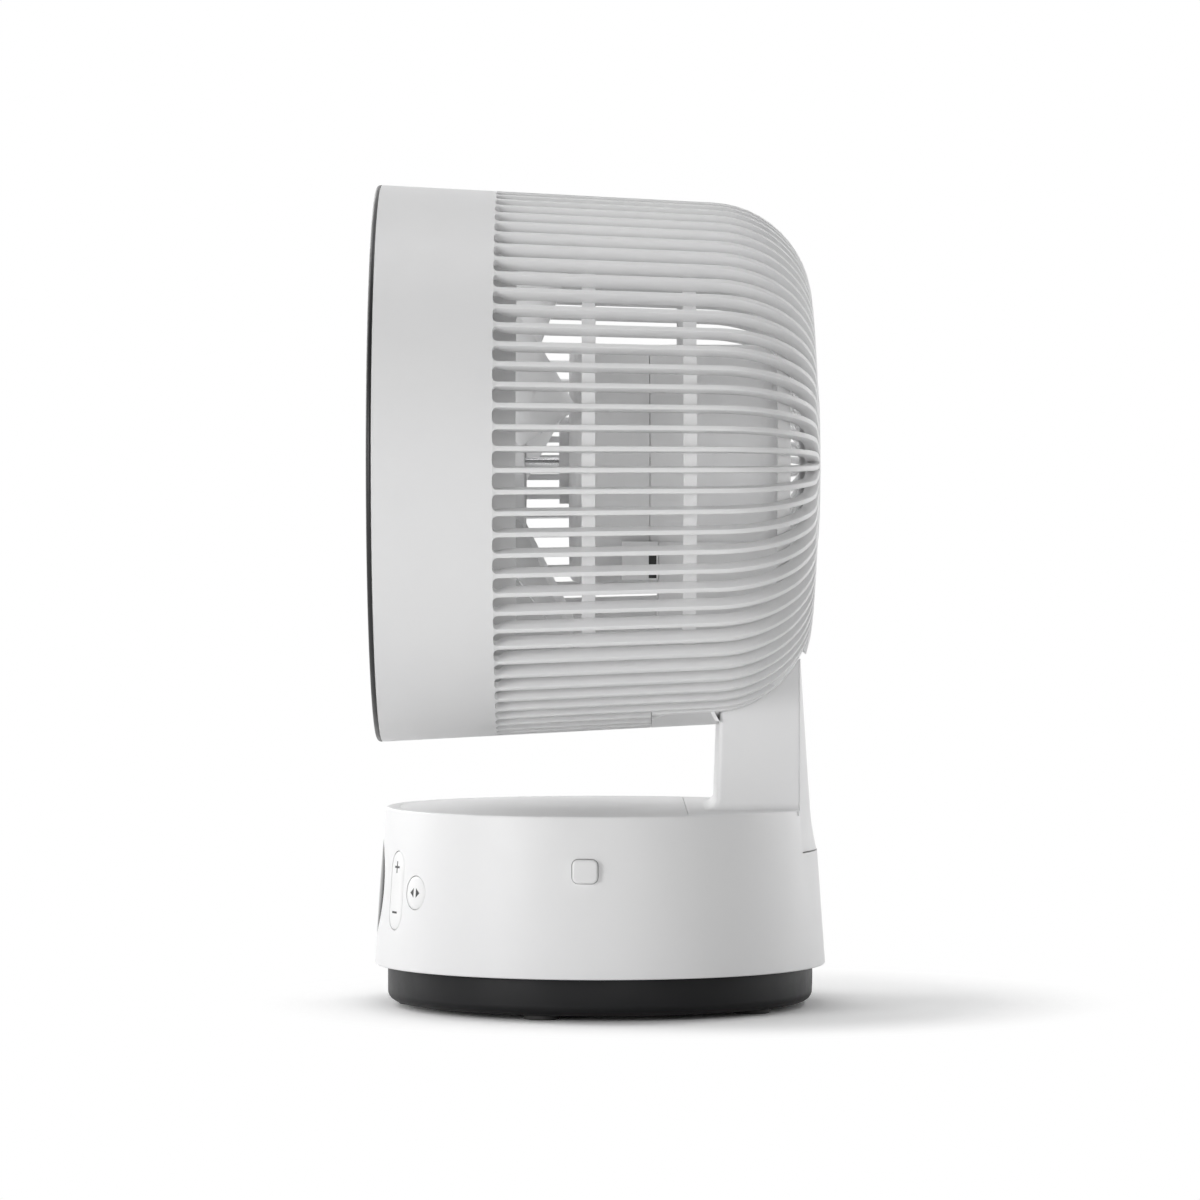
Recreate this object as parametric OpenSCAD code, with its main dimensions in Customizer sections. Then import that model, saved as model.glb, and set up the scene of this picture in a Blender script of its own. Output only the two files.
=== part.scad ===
// Desk air circulator: a round fan head that tilts on a neck and swings with its drum-shaped base on a weighted foot.
// Millimetres, +Z up, front towards -Y, origin at the centre of the footprint on the floor.

/* [Base] */
// Radius of the white base at its lower edge
base_r = 101.3; // [98:0.1:106]
// Height of the lower edge of the white base above the floor
base_low_z = 18.7; // [17:0.1:20]
// Height of the white base from its lower edge to its top face
base_h = 70.4; // [66:0.1:76]
// Draft angle of the base wall
base_draft = 4.1; // [3:0.1:5]
// Thickness of the moulded walls of base and neck
wall = 2.6; // [2.2:0.1:3]
// Width of the rim round the round top plate
rim_w = 6.3; // [5.5:0.1:8]
// Distance from the axis to the seam between top plate and neck flange
seam_y = 38.5; // [35:0.5:42]
// Width of the ledge that carries the top plates
ledge_w = 4; // [3:0.5:5]
// Thickness of the chassis plate
chassis_t = 3; // [2.6:0.1:3.4]
// Radius of the bosses for the case screws
case_boss_r = 5; // [4.5:0.5:6]
// Height of the top of the case screw bosses
case_boss_top_z = 55; // [45:1:60]

/* [Foot] */
// Distance that the black foot is set back from the base's lower edge
foot_step = 5.9; // [5.3:0.1:8]
// Height of the foot's underside above the floor
foot_lift = 2.2; // [1.5:0.1:3]
// Wall and floor thickness of the foot pan
pan_t = 2.5; // [2:0.1:3]
// Corner radius at the lower edge of the foot
foot_round = 4.5; // [3:0.1:6]
// Radius of a rubber foot
pad_r = 8.1; // [6:0.1:9]
// Number of rubber feet
pad_count = 5; // [3:1:6]
// Distance from the foot's edge to the middle of a rubber foot
pad_inset = 12.9; // [12.9:0.1:19]
// Thickness of the steel ballast ring
ballast_t = 8; // [6:0.5:9]
// Radius of the hollow swing post
post_r = 16; // [15:0.5:17]
// Radius of the cable bore in the swing post
post_bore_r = 6; // [5:0.5:8]
// Middle radius of the swing glide ring
glide_r = 62; // [58:0.5:63]
// Depth of the seats of the rubber feet
pad_seat = 1; // [0.6:0.1:1.4]
// Width of the track under the glide ring
track_w = 6; // [5:0.5:7]
// Thickness of the glide ring
glide_t = 1.6; // [1.5:0.1:2]
// Depth of the power inlet
inlet_l = 14; // [12:0.5:15]

/* [Swing drive] */
// Gear module of the swing gears
gear_module = 1; // [1:0.05:1.1]
// Teeth on the fixed swing gear
gear_teeth = 48; // [46:2:50]
// Teeth on the motor pinion
pinion_teeth = 16; // [16:2:18]
// Face width of the swing gears
gear_w = 5; // [4:0.5:6]
// Radius of the swing motor's can
stepper_r = 14; // [12:0.5:15]
// Height of the swing motor's can
stepper_h = 19; // [15:0.5:24]
// Distance from the pinion to the middle of the swing motor's can
stepper_offset = 8; // [7:0.5:9]
// Thickness of the retaining washer
washer_t = 1.5; // [1.2:0.1:2]

/* [Neck and tilt hinge] */
// Width of the neck
neck_w = 75.6; // [70:0.2:80]
// Distance from the tilt axis forward to the neck's front face at its foot
neck_reach_low = 20.5; // [20:0.1:23]
// Distance from the tilt axis forward to the neck's front face at the height of the axis
neck_reach_high = 18.5; // [18:0.1:19.5]
// Distance from the base's rear edge forward to the tilt axis
hinge_inset = 24.25; // [23.5:0.05:24.75]
// Height of the tilt axis above the floor
tilt_z = 142; // [141:0.5:144]
// Radius of the neck's rounded top about the tilt axis
neck_top_r = 22.4; // [21.5:0.1:22.6]
// Height at which the neck's rear cover ends on the base
tongue_z = 70; // [66:0.5:74]
// Radius of the tilt axle
axle_r = 4; // [3:0.5:5]
// Width of the hinge lug
lug_w = 22.4; // [18:0.2:26]
// Radius of the hinge lug
lug_r = 14; // [12:0.5:15]
// Thickness of the stem that carries the head
stem_t = 12; // [10:0.5:12.5]
// Distance from the tilt axis back to the neck cover's top
cover_back = 17.6; // [17:0.1:18]
// Thickness of the neck's rear cover
cover_t = 2.5; // [2.2:0.1:2.8]
// Thickness of the two cheeks that hold the tilt axle
cheek_t = 5; // [4:0.5:7]
// Fillet between the neck's front face and the base
neck_fillet = 5; // [3:0.5:6]
// Thickness of a friction washer
friction_t = 1; // [0.8:0.1:1]
// Width of the saddle under the motor
saddle_w = 44; // [42:1:50]

/* [Head] */
// Radius of the head at its front edge
head_r = 125; // [122:0.5:128]
// Distance that the underside of the head reaches below the tilt axis
head_sink = 24; // [22:0.5:26]
// Distance from the base axis forward to the front face
head_front = 100; // [97:0.5:104]
// Distance from the base axis back to the rear dome
head_rear = 98.1; // [97:0.1:99]
// Taper angle of the head's side
head_taper = 3; // [2.5:0.1:3.2]
// Radius of the rear shoulder
shoulder_r = 46.5; // [44:0.5:48]
// Radius of the flat dome at the rear
dome_r = 830; // [700:10:1000]
// Depth of the smooth drum behind the trim ring
drum_l = 51.4; // [46:0.2:54]
// Wall thickness of the drum
drum_t = 2.5; // [2:0.1:3]
// Thickness of the dark trim ring
trim_t = 2.2; // [1.8:0.1:3]
// Width of the dark trim ring
trim_w = 11; // [8:0.5:13]
// Thickness of the ledge inside the drum
ledge_t = 2.5; // [2:0.1:3]
// Clearance between the neck and the well round it
well_gap = 0.8; // [0.6:0.1:1]
// Wall thickness of the well round the neck
well_t = 2; // [1.6:0.1:2.4]
// Distance from the tilt axis forward to the well's front wall
well_reach = 46; // [42:0.5:46.5]
// Distance that the underside panel reaches in front of the well
panel_lead = 3; // [2:0.5:6]
// Chamfer at the underside panel's front corners
panel_chamfer = 6; // [4:0.5:8]

/* [Rear cage] */
// Number of ribs round the cage
rib_count = 82; // [70:2:86]
// Thickness of a rib
rib_t = 2.2; // [1.8:0.1:2.4]
// Radial depth of a rib
rib_depth = 6; // [5.5:0.1:7]
// Width of the hoops inside the ribs
hoop_w = 5.8; // [4:0.1:7]
// Radial thickness of the hoops
hoop_t = 3; // [2.5:0.1:4]
// Radius of the closed disc at the rear
disc_r = 37; // [36:0.5:42]
// Place of the front hoop
hoop_1_y = -7.9; // [-9:0.1:-6]
// Place of the middle hoop
hoop_2_y = 35.8; // [34:0.1:38]
// Place of the rear hoop
hoop_3_y = 76.7; // [75:0.1:77.5]

/* [Front grille] */
// Number of curved vanes
vane_count = 54; // [40:2:60]
// Thickness of a vane
vane_t = 1.5; // [1.2:0.1:1.8]
// Depth of a vane
vane_depth = 6; // [4.5:0.5:7]
// Radius of curvature of a vane
vane_r = 100; // [98:1:110]
// Radius of the blank centre cap
cap_r = 25; // [24:0.5:30]

/* [Impeller and motor] */
// Number of blades
blade_count = 5; // [4:1:6]
// Tip radius of the impeller
impeller_r = 98; // [94:0.5:99]
// Radius of the impeller hub
hub_r = 32; // [30:0.5:34]
// Axial depth of a blade at its tip
blade_l = 54; // [48:1:56]
// Thickness of a blade
blade_t = 1.8; // [1.4:0.1:2.4]
// Angle that a blade covers round the axis
blade_span = 62; // [50:1:64]
// Thickness of the air duct
duct_t = 2.2; // [1.8:0.1:3]
// Radius of the motor casing
motor_r = 53.5; // [51:0.5:54]
// Place of the motor casing's front face behind the base axis
motor_front = -13.7; // [-14:0.1:-12]
// Place of the motor casing's rear face behind the base axis
motor_rear = 80; // [76:0.5:80]
// Place of the seam round the motor casing
motor_seam = 22; // [18:0.5:26]
// Radius of the motor shaft
shaft_r = 3; // [2.5:0.5:4]
// Number of arms that carry the motor
arm_count = 8; // [4:1:10]
// Place of the rear edge of the air duct
duct_rear = -36.4; // [-38:0.1:-35]
// Axial depth of a blade at its root
blade_root_l = 28; // [24:0.5:30]
// Depth of the impeller hub
hub_l = 30; // [28:0.5:33]
// Wall thickness of the motor casing
motor_wall = 2.5; // [2:0.1:3]
// Width of the arms that carry the motor
arm_w = 7; // [5:0.5:9]
// Radius of the boss in front of the motor
boss_r = 18; // [14:0.5:20]
// Radius of the motor bearings
bearing_r = 9.5; // [8:0.5:11]
// Radius of the motor's rotor
rotor_r = 24; // [20:0.5:24]
// Outer radius of the stator's teeth
stator_outer_r = 38; // [34:0.5:42]
// Length of the stator
stator_l = 20; // [16:1:28]

/* [Controls] */
// Radius of the round display window
display_r = 22; // [18:0.5:23]
// Height of the display and keys above the floor
control_z = 53.5; // [52:0.5:56]
// Angle of the two-way keys from the front
rocker_angle = 24.2; // [23:0.1:25]
// Width of a two-way key
rocker_w = 14; // [12:0.1:14]
// Height of a two-way key
rocker_h = 34.7; // [30:0.1:38]
// Angle of the round keys from the front
round_angle = 34.7; // [34.5:0.1:38]
// Radius of a round key
round_r = 7.35; // [6:0.05:7.5]
// Gap round each key
key_gap = 0.3; // [0.3:0.05:0.4]
// Width of the side button
side_w = 11.1; // [9:0.1:13]
// Height of the side button
side_h = 10.4; // [9:0.1:12]
// Corner radius of the side button
side_corner = 2.7; // [1.5:0.1:4]
// Height of the side button's centre above the floor
side_z = 65.4; // [60:0.1:68]
// Distance of the side button in front of the base axis
side_forward = 6.5; // [0:0.5:12]
// How far the side button stands out
side_proud = 2.6; // [1.8:0.1:3.5]
// Width of the hidden collar round each key
collar_w = 1; // [0.8:0.1:1.2]
// Thickness of the hidden collar round each key
key_depth = 1.2; // [1:0.1:1.4]
// Thickness of the display window
display_t = 1.4; // [1.2:0.1:1.8]
// How far the side button moves in
side_travel = 1.2; // [0.8:0.1:1.4]
// Height of the main board above the floor
main_board_z = 60; // [50:1:62]
// Width of the main board
main_board_w = 84; // [80:1:90]
// Length of the main board
main_board_l = 62; // [60:1:66]

/* [Hidden] */
$fn = 96;
eps = 0.01;
fit = 0.05;
gap = 0.3;
white = "white";
black = "#1b1c1e";
steel = "#b8bcc0";
grey = "#c9cbcc";
dark = "#3a3c3e";
green = "#2e6b4a";

// Base heights and radii
base_top_z = base_low_z + base_h;
function base_wall_r(z) = base_r - (z - base_low_z) * tan(base_draft);
rim_r = base_wall_r(base_top_z) - rim_w;
plate_bottom_z = base_top_z - wall;

// Foot sizes and heights
foot_r = base_r - foot_step;
pad_ring_r = foot_r - pad_inset;
foot_floor_z = foot_lift + pan_t;
foot_top_z = base_low_z + pan_t;
inlet_r = 5.5;
inlet_w = 13;
inlet_bore_r = 3.2;
inlet_pin_r = 1;
inlet_seat = foot_r - pan_t - sqrt(pow(foot_r - pan_t, 2) - pow(inlet_w / 2, 2)) + fit;
track_top_z = foot_top_z - 1.4;
glide_top_z = track_top_z + glide_t;
ballast_inner_r = glide_r + track_w / 2 + 3;
ballast_outer_r = foot_r - foot_round;
ballast_screw_r = (ballast_inner_r + ballast_outer_r) / 2;
screw_r = 1.5;
screw_head_r = 2.8;
screw_head_t = 2;
ballast_boss_r = screw_r + 2;
ballast_screw_l = 7;

// Chassis and swing drive
chassis_z = glide_top_z + gap;
chassis_top_z = chassis_z + chassis_t;
chassis_r = base_wall_r(chassis_z) - wall - gap;
hub_wall = 5;
hub_top_z = chassis_top_z + 0.4;
gear_z = hub_top_z + gap;
gear_seat_r = post_r - 3;
gear_top_z = gear_z + gear_w;
washer_screw_r = (gear_seat_r + post_bore_r) / 2;
gear_r = gear_module * gear_teeth / 2;
pinion_r = gear_module * pinion_teeth / 2;
drive_y = gear_r + pinion_r + 0.1 * gear_module;
pinion_shaft_r = 2.5;
stepper_z = gear_top_z + 3.4;
stepper_y = drive_y + stepper_offset;
stepper_ear_x = stepper_r + 3.5;
ear_t = 1.2;
shaft_depth = 6;
washer_screw_l = 8;
stepper_screw_l = 8;
case_screw_l = 12;

// Boards
board_t = 1.6;
board_inset = 63.3;
main_board_y = board_inset - base_r;
pillar_r = 3;
pillar_inset = 5;
part_gap = 6;
driver_size = [20, 26, 14];
driver_x = pillar_inset + pillar_r + part_gap - main_board_w / 2;
driver_y = pillar_inset + pillar_r + part_gap - 1 - main_board_l / 2;
capacitor_r = 8;
capacitor_h = 16;
capacitor_x = driver_x + driver_size.x + part_gap + capacitor_r;
capacitor_y = driver_y + capacitor_r + 2;
terminal_size = [12, 16, 9];
terminal_x = capacitor_x + capacitor_r + part_gap;
terminal_y = capacitor_y + 2 * part_gap;
case_boss_angles = [75, 150, 210, 285];
case_boss_clear = 1;
case_boss_ring_r = base_wall_r(case_boss_top_z) - wall - case_boss_r - case_boss_clear;
web_t = 2.4;
button_l = 8;
switch_l = 5;
switch_w = 6;
switch_t = 3.4;
switch_gap = 0.8;
key_board_r = base_wall_r(control_z) - wall - gap - key_depth - switch_gap - switch_t;
function switch_h(z) = base_wall_r(control_z + z + switch_w / 2) - wall - gap - key_depth - switch_gap - key_board_r;
key_board_w = 40;
key_board_h = 42;
key_board_angle = (rocker_angle + round_angle) / 2;
display_ring = 1.5;
display_module_t = 6;
board_post_r = 2;
post_x = key_board_w / 2 - board_post_r - 1;
post_z = key_board_h / 2 - board_post_r - 1;

// Neck
neck_half = neck_w / 2;
neck_rear_y = base_wall_r(base_top_z);
tilt_y = neck_rear_y - hinge_inset;
neck_front_low = tilt_y - neck_reach_low;
neck_front_high = tilt_y - neck_reach_high;
neck_edge_y = sqrt(pow(neck_rear_y, 2) - neck_half * neck_half);
neck_lean = (neck_front_high - neck_front_low) / (tilt_z - base_top_z);
cover_seat_y = neck_edge_y - cover_t;
cover_top_z = tilt_z + sqrt(neck_top_r * neck_top_r - pow(cover_seat_y - tilt_y, 2));
cover_top_y = tilt_y + cover_back;
slot_half = lug_w / 2 + 1.3;
axle_head_r = axle_r + 3;
axle_head_t = 2;
cheek_low_z = 108;

// Head envelope
head_z = tilt_z - head_sink + head_r;
drum_front = trim_t - head_front;
drum_rear = drum_front + drum_l;
dome_y = head_rear - dome_r;
side_slope = tan(head_taper);
envelope_a = head_r + drum_front * side_slope - shoulder_r / cos(head_taper);
envelope_b = dome_y + envelope_a * side_slope;
envelope_k = 1 + side_slope * side_slope;
envelope_c = dome_y * dome_y + envelope_a * envelope_a - pow(dome_r - shoulder_r, 2);
shoulder_y = (envelope_b + sqrt(envelope_b * envelope_b - envelope_k * envelope_c)) / envelope_k;
shoulder_x = envelope_a - shoulder_y * side_slope;
function side_r(y) = head_r - (y - drum_front) * side_slope;

// Grille, duct and impeller
grille_front = drum_front - 1;
grille_rear = grille_front + vane_depth;
ledge_front = grille_rear + duct_t;
grille_r = side_r(ledge_front) - drum_t - gap;
grille_open_r = head_r - trim_w - 1;
duct_inner_r = impeller_r + 2.6;
hub_rear = duct_rear + 3;
blade_rear = hoop_1_y - 2;
tip_steps = 10;
root_steps = 6;

// Motor
bearing_w = 6;
boss_l = 4.5;
stator_inner_r = 24.6;
motor_mid = (motor_front + motor_rear) / 2;
motor_round = 4;
motor_back_round = 10;
seam_gap = 0.15;
hoop_inner_r = side_r(hoop_1_y + hoop_w) - (rib_depth + hoop_t) / cos(head_taper);
arm_end_r = sqrt(pow(hoop_inner_r, 2) - pow(arm_w / 2, 2)) - fit;
rear_bearing_y = motor_rear - motor_wall - bearing_w;
hub_wall_t = 2.5;
rotor_angle = -3;
saddle_t = 5;
saddle_rise = 6;
saddle_reach = 22;
saddle_y = tilt_y - saddle_reach;
saddle_screw_x = 16;
saddle_screw_inset = 4;
saddle_screw_step = 6;
bracket_screw_l = 9.5;
grille_screw_l = 8;

// Well round the neck
well_front = tilt_y - well_reach;
panel_front = well_front - panel_lead;
well_inner_r = neck_top_r + 0.9;
panel_t = 2.2;
cut_gap = 0.3;
window_angle = 12 * 180 / rib_count;
window_r = head_z - tilt_z - 5 * rib_t;
trim_round = 1;
collar_l = 1.5;
well_half = neck_half + well_gap;
collar_inset = 0.8;

// Cable outlet of the motor
outlet_x = 46;
outlet_w = 22;
outlet_l = 16;
outlet_h = 17;
outlet_rear = well_front - gap;
outlet_low_z = head_z - 52;
grommet_l = 3.4;
grommet_h = 10;
grommet_inset = 0.8;

module arc_key(angle, z) rotate([0, 0, angle]) translate([0, 0, z]) rotate([90, 0, 0]) children();

module on_foot_wall() translate([0, foot_r - pan_t, (foot_floor_z + foot_top_z) / 2]) rotate([-90, 0, 0]) children();

module on_head_axis() translate([0, 0, head_z]) rotate([-90, 0, 0]) children();

module tube(r_out, r_in, h, steps = 96) {
  difference() {
    cylinder(r = r_out, h = h, $fn = steps);
    translate([0, 0, -1]) cylinder(r = r_in, h = h + 2, $fn = steps);
  }
}

// Screw standing on its tip, with its head on top
module screw(length, head_r = screw_head_r) {
  cylinder(r = screw_r, h = length + screw_head_t / 2);
  translate([0, 0, length]) cylinder(r = head_r, h = screw_head_t);
}

// Solid between two offsets of the base's outer cone
module cone_layer(outer, inner, z0, z1) {
  rotate_extrude()
    polygon([[base_wall_r(z0) - inner, z0], [base_wall_r(z0) - outer, z0], [base_wall_r(z1) - outer, z1],
      [base_wall_r(z1) - inner, z1]]);
}

// Foot

module foot_region(inset) {
  translate([0, foot_lift + inset]) square([foot_r - foot_round, foot_top_z + inset]);
  translate([0, foot_lift + foot_round]) square([foot_r - inset, foot_top_z + inset]);
  translate([foot_r - foot_round, foot_lift + foot_round]) circle(foot_round - inset);
}

module foot_pan() {
  color(black) difference() {
    union() {
      rotate_extrude() intersection() {
        difference() {
          foot_region(0);
          foot_region(pan_t);
        }
        square([foot_r + 1, foot_top_z]);
      }
      translate([0, 0, foot_lift]) cylinder(r = post_r, h = gear_z - foot_lift);
      translate([0, 0, foot_lift]) cylinder(r = gear_seat_r, h = gear_top_z - fit - foot_lift);
      translate([0, 0, foot_floor_z - eps])
        tube(glide_r + track_w / 2, glide_r - track_w / 2, track_top_z - foot_floor_z + eps);
      ballast_places() translate([0, 0, -eps]) cylinder(r = ballast_boss_r, h = ballast_t - fit + eps);
    }
    translate([0, 0, -1]) cylinder(r = post_bore_r, h = gear_top_z + 2);
    pad_places() cylinder(r = pad_r + fit, h = foot_lift + pad_seat + fit);
    on_foot_wall() cylinder(r = inlet_r + fit, h = 3 * pan_t, center = true);
    washer_screw_places() translate([0, 0, -washer_screw_l - 1]) cylinder(r = screw_r + fit, h = washer_screw_l + 2);
    ballast_places() cylinder(r = screw_r + fit, h = ballast_t + 1);
  }
}

module pad_places() for (i = [0:pad_count - 1])
  rotate([0, 0, i * 360 / pad_count - 90]) translate([pad_ring_r, 0, 0]) children();

module ballast_places() for (a = [45:90:315])
  rotate([0, 0, a]) translate([ballast_screw_r, 0, foot_floor_z]) children();

module washer_screw_places() for (a = [0:120:240])
  rotate([0, 0, a]) translate([washer_screw_r, 0, gear_top_z]) children();

module rubber_feet() {
  color(dark) pad_places() cylinder(r = pad_r, h = foot_lift + pad_seat);
}

module ballast_ring() {
  color(steel) difference() {
    translate([0, 0, foot_floor_z]) tube(ballast_outer_r, ballast_inner_r, ballast_t);
    ballast_places() translate([0, 0, -1]) cylinder(r = ballast_boss_r + gap, h = ballast_t + 2);
    translate([-inlet_w / 2 - 1, 0, 0]) cube([inlet_w + 2, foot_r, foot_top_z]);
  }
}

module ballast_screws() {
  color(steel) ballast_places() translate([0, 0, ballast_t - ballast_screw_l])
    screw(ballast_screw_l, ballast_boss_r + 2);
}

module power_inlet() {
  color(black) on_foot_wall() difference() {
    union() {
      translate([0, 0, -inlet_seat - 1]) cylinder(r = inlet_r, h = pan_t + inlet_seat + 1);
      translate([-inlet_w / 2, -inlet_r, -inlet_l]) cube([inlet_w, 2 * inlet_r, inlet_l - inlet_seat]);
    }
    difference() {
      translate([0, 0, pan_t - inlet_l + 3]) cylinder(r = inlet_bore_r, h = inlet_l);
      translate([0, 0, pan_t - inlet_l]) cylinder(r = inlet_pin_r, h = inlet_l - 1);
    }
  }
}

module glide_ring() {
  color(grey) translate([0, 0, track_top_z]) tube(glide_r + track_w / 2 - 0.5, glide_r - track_w / 2 + 0.5, glide_t);
}

// Swing gears

// Outline of a gear with straight tooth flanks and some backlash
function gear_points(teeth) = let (pitch_r = gear_module * teeth / 2, root_r = pitch_r - 1.25 * gear_module,
  tip_r = pitch_r + 0.9 * gear_module, root_a = asin(1.12 * gear_module / root_r),
  tip_a = asin(0.34 * gear_module / tip_r))
  [for (i = [0:teeth - 1]) for (p = [[root_r, -root_a], [tip_r, -tip_a], [tip_r, tip_a], [root_r, root_a]])
    p[0] * [cos(i * 360 / teeth + p[1]), sin(i * 360 / teeth + p[1])]];

module swing_gear() {
  color(grey) translate([0, 0, gear_z]) difference() {
    linear_extrude(gear_w) rotate(90) polygon(gear_points(gear_teeth));
    translate([0, 0, -1]) cylinder(r = gear_seat_r + fit, h = gear_w + 2);
  }
}

module retaining_washer() {
  color(steel) difference() {
    translate([0, 0, gear_top_z]) tube(gear_seat_r + 5, post_bore_r, washer_t);
    washer_screw_places() translate([0, 0, -1]) cylinder(r = screw_r + fit, h = washer_t + 2);
  }
}

module washer_screws() {
  color(steel) washer_screw_places() translate([0, 0, washer_t - washer_screw_l]) screw(washer_screw_l);
}

module swing_pinion() {
  color(grey) translate([0, drive_y, gear_z]) difference() {
    linear_extrude(gear_w) rotate(90 + 180 / pinion_teeth) polygon(gear_points(pinion_teeth));
    translate([0, 0, -1]) cylinder(r = pinion_shaft_r + fit, h = gear_w + 2);
  }
}

module pinion_shaft() {
  color(steel) translate([0, drive_y, gear_z]) cylinder(r = pinion_shaft_r, h = stepper_z - gear_z + shaft_depth);
}

module swing_motor() {
  color(steel) {
    difference() {
      translate([0, stepper_y, stepper_z]) cylinder(r = stepper_r, h = stepper_h);
      translate([0, drive_y, stepper_z - 1]) cylinder(r = pinion_shaft_r + fit, h = shaft_depth + 1 + fit);
    }
    difference() {
      translate([-stepper_ear_x - pillar_r, stepper_y - pillar_r, stepper_z])
        cube([2 * (stepper_ear_x + pillar_r), 2 * pillar_r, ear_t]);
      translate([0, stepper_y, stepper_z - 1]) cylinder(r = stepper_r - 1, h = ear_t + 2);
      stepper_posts() translate([0, 0, -1]) cylinder(r = screw_r + fit, h = ear_t + 2);
    }
  }
}

module stepper_posts() for (x = [-stepper_ear_x, stepper_ear_x]) translate([x, stepper_y, stepper_z]) children();

module stepper_screws() {
  color(steel) stepper_posts() translate([0, 0, ear_t - stepper_screw_l]) screw(stepper_screw_l);
}

// Base

module base_chassis() {
  color(grey) difference() {
    union() {
      translate([0, 0, chassis_z]) cylinder(r = chassis_r, h = chassis_t);
      translate([0, 0, chassis_z]) cylinder(r = post_r + hub_wall, h = hub_top_z - chassis_z);
      stepper_posts() translate([0, 0, chassis_z - stepper_z]) cylinder(r = pillar_r, h = stepper_z - chassis_z);
    }
    translate([0, 0, chassis_z - 1]) cylinder(r = post_r + fit, h = chassis_t + 3);
    case_screw_places() translate([0, 0, -1]) cylinder(r = screw_r + fit, h = chassis_t + 2);
    case_screw_places() translate([0, 0, -1]) cylinder(r = screw_head_r + fit, h = screw_head_t + 1);
    stepper_posts() translate([0, 0, -stepper_screw_l - 1]) cylinder(r = screw_r + fit, h = stepper_screw_l + 2);
  }
}

module case_screw_places() for (a = case_boss_angles)
  rotate([0, 0, a]) translate([0, -case_boss_ring_r, chassis_z]) children();

module chassis_screws() {
  color(steel) case_screw_places() translate([0, 0, case_screw_l + screw_head_t]) rotate([180, 0, 0])
    screw(case_screw_l);
}

module rounded_prism(w, h, r, length) {
  linear_extrude(length) {
    square([w, h - 2 * r], center = true);
    square([w - 2 * r, h], center = true);
    for (x = [r - w / 2, w / 2 - r], y = [r - h / 2, h / 2 - r]) translate([x, y]) circle(r);
  }
}

module rocker_prism(grow, length)
  rounded_prism(rocker_w + 2 * grow, rocker_h + 2 * grow, rocker_w / 2 + grow - eps, length);

module side_place() translate([0, -side_forward, side_z]) rotate([90, 0, 90]) children();

module base_shell() {
  color(white) difference() {
    union() {
      rotate_extrude() polygon([
        [base_wall_r(base_low_z) - wall, base_low_z], [base_r, base_low_z], [base_wall_r(base_top_z), base_top_z],
        [rim_r, base_top_z], [rim_r, plate_bottom_z], [rim_r - ledge_w, plate_bottom_z],
        [rim_r - ledge_w, plate_bottom_z - wall],
        [base_wall_r(plate_bottom_z - wall) - wall, plate_bottom_z - wall]]);
      case_screw_places() translate([0, 0, chassis_t]) {
        cylinder(r = case_boss_r, h = case_boss_top_z - chassis_top_z);
        translate([-web_t / 2, -case_boss_r - case_boss_clear - wall / 2, 0])
          cube([web_t, case_boss_r + case_boss_clear + wall / 2, case_boss_top_z - chassis_top_z]);
      }
      board_posts();
    }
    case_screw_places() translate([0, 0, chassis_t - 1]) cylinder(r = screw_r + fit, h = case_screw_l + 2);
    arc_key(0, control_z) translate([0, 0, key_board_r]) cylinder(r = display_r + key_gap, h = base_r);
    for (s = [-1, 1]) {
      arc_key(s * rocker_angle, control_z) translate([0, 0, key_board_r]) rocker_prism(key_gap, base_r);
      arc_key(s * round_angle, control_z) translate([0, 0, key_board_r]) cylinder(r = round_r + key_gap, h = base_r);
    }
    side_place() rounded_prism(side_w + 2 * key_gap, side_h + 2 * key_gap, side_corner + key_gap, 2 * base_r);
    translate([-neck_half - gap, seam_y, tongue_z - gap]) cube([neck_w + 2 * gap, base_r, base_h]);
  }
}

module top_plate() {
  color(white) difference() {
    translate([0, 0, plate_bottom_z]) cylinder(r = rim_r - gap / 2, h = wall);
    translate([-base_r, seam_y - gap / 2, plate_bottom_z - 1]) cube([2 * base_r, base_r, wall + 2]);
  }
}

module display_window() {
  color("black") intersection() {
    cone_layer(-0.15, display_t, chassis_top_z, plate_bottom_z);
    arc_key(0, control_z) cylinder(r = display_r, h = 2 * base_r);
  }
}

module display_module() {
  color(dark) intersection() {
    cone_layer(display_t, display_t + display_module_t, chassis_top_z, plate_bottom_z);
    arc_key(0, control_z) cylinder(r = display_r - display_ring, h = 2 * base_r);
  }
}

// Key with a collar behind the wall and a stem that reaches its switch
module key_body(angle, round_key) {
  intersection() {
    cone_layer(0, wall + gap, chassis_top_z, plate_bottom_z);
    arc_key(angle, control_z) if (round_key) cylinder(r = round_r, h = 2 * base_r);
    else rocker_prism(0, 2 * base_r);
  }
  intersection() {
    cone_layer(wall + gap, wall + gap + key_depth, chassis_top_z, plate_bottom_z);
    arc_key(angle, control_z) if (round_key) cylinder(r = round_r + collar_w / 2, h = 2 * base_r);
    else rocker_prism(collar_w, 2 * base_r);
  }
}

module plus_minus_key() {
  color(white) key_body(rocker_angle, false);
}

module timer_key() {
  color(white) key_body(-rocker_angle, false);
}

module swing_key() {
  color(white) key_body(round_angle, true);
}

module power_key() {
  color(white) key_body(-round_angle, true);
}

// Posts inside the base wall that carry the key boards
module board_posts() for (s = [-1, 1], x = [-post_x, post_x], z = [-post_z, post_z])
  arc_key(s * key_board_angle, control_z + z) translate([x, 0, key_board_r])
    cylinder(r = board_post_r,
      h = sqrt(pow(base_wall_r(control_z + z) - wall / 2, 2) - post_x * post_x) - key_board_r);

// Switch that ends in front of the key's stem, whose place follows the slope of the wall
module key_switch(z) translate([-switch_w / 2, -switch_w / 2, key_board_r - board_t / 2])
  cube([switch_w, switch_w, switch_h(z) + board_t / 2]);

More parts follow.
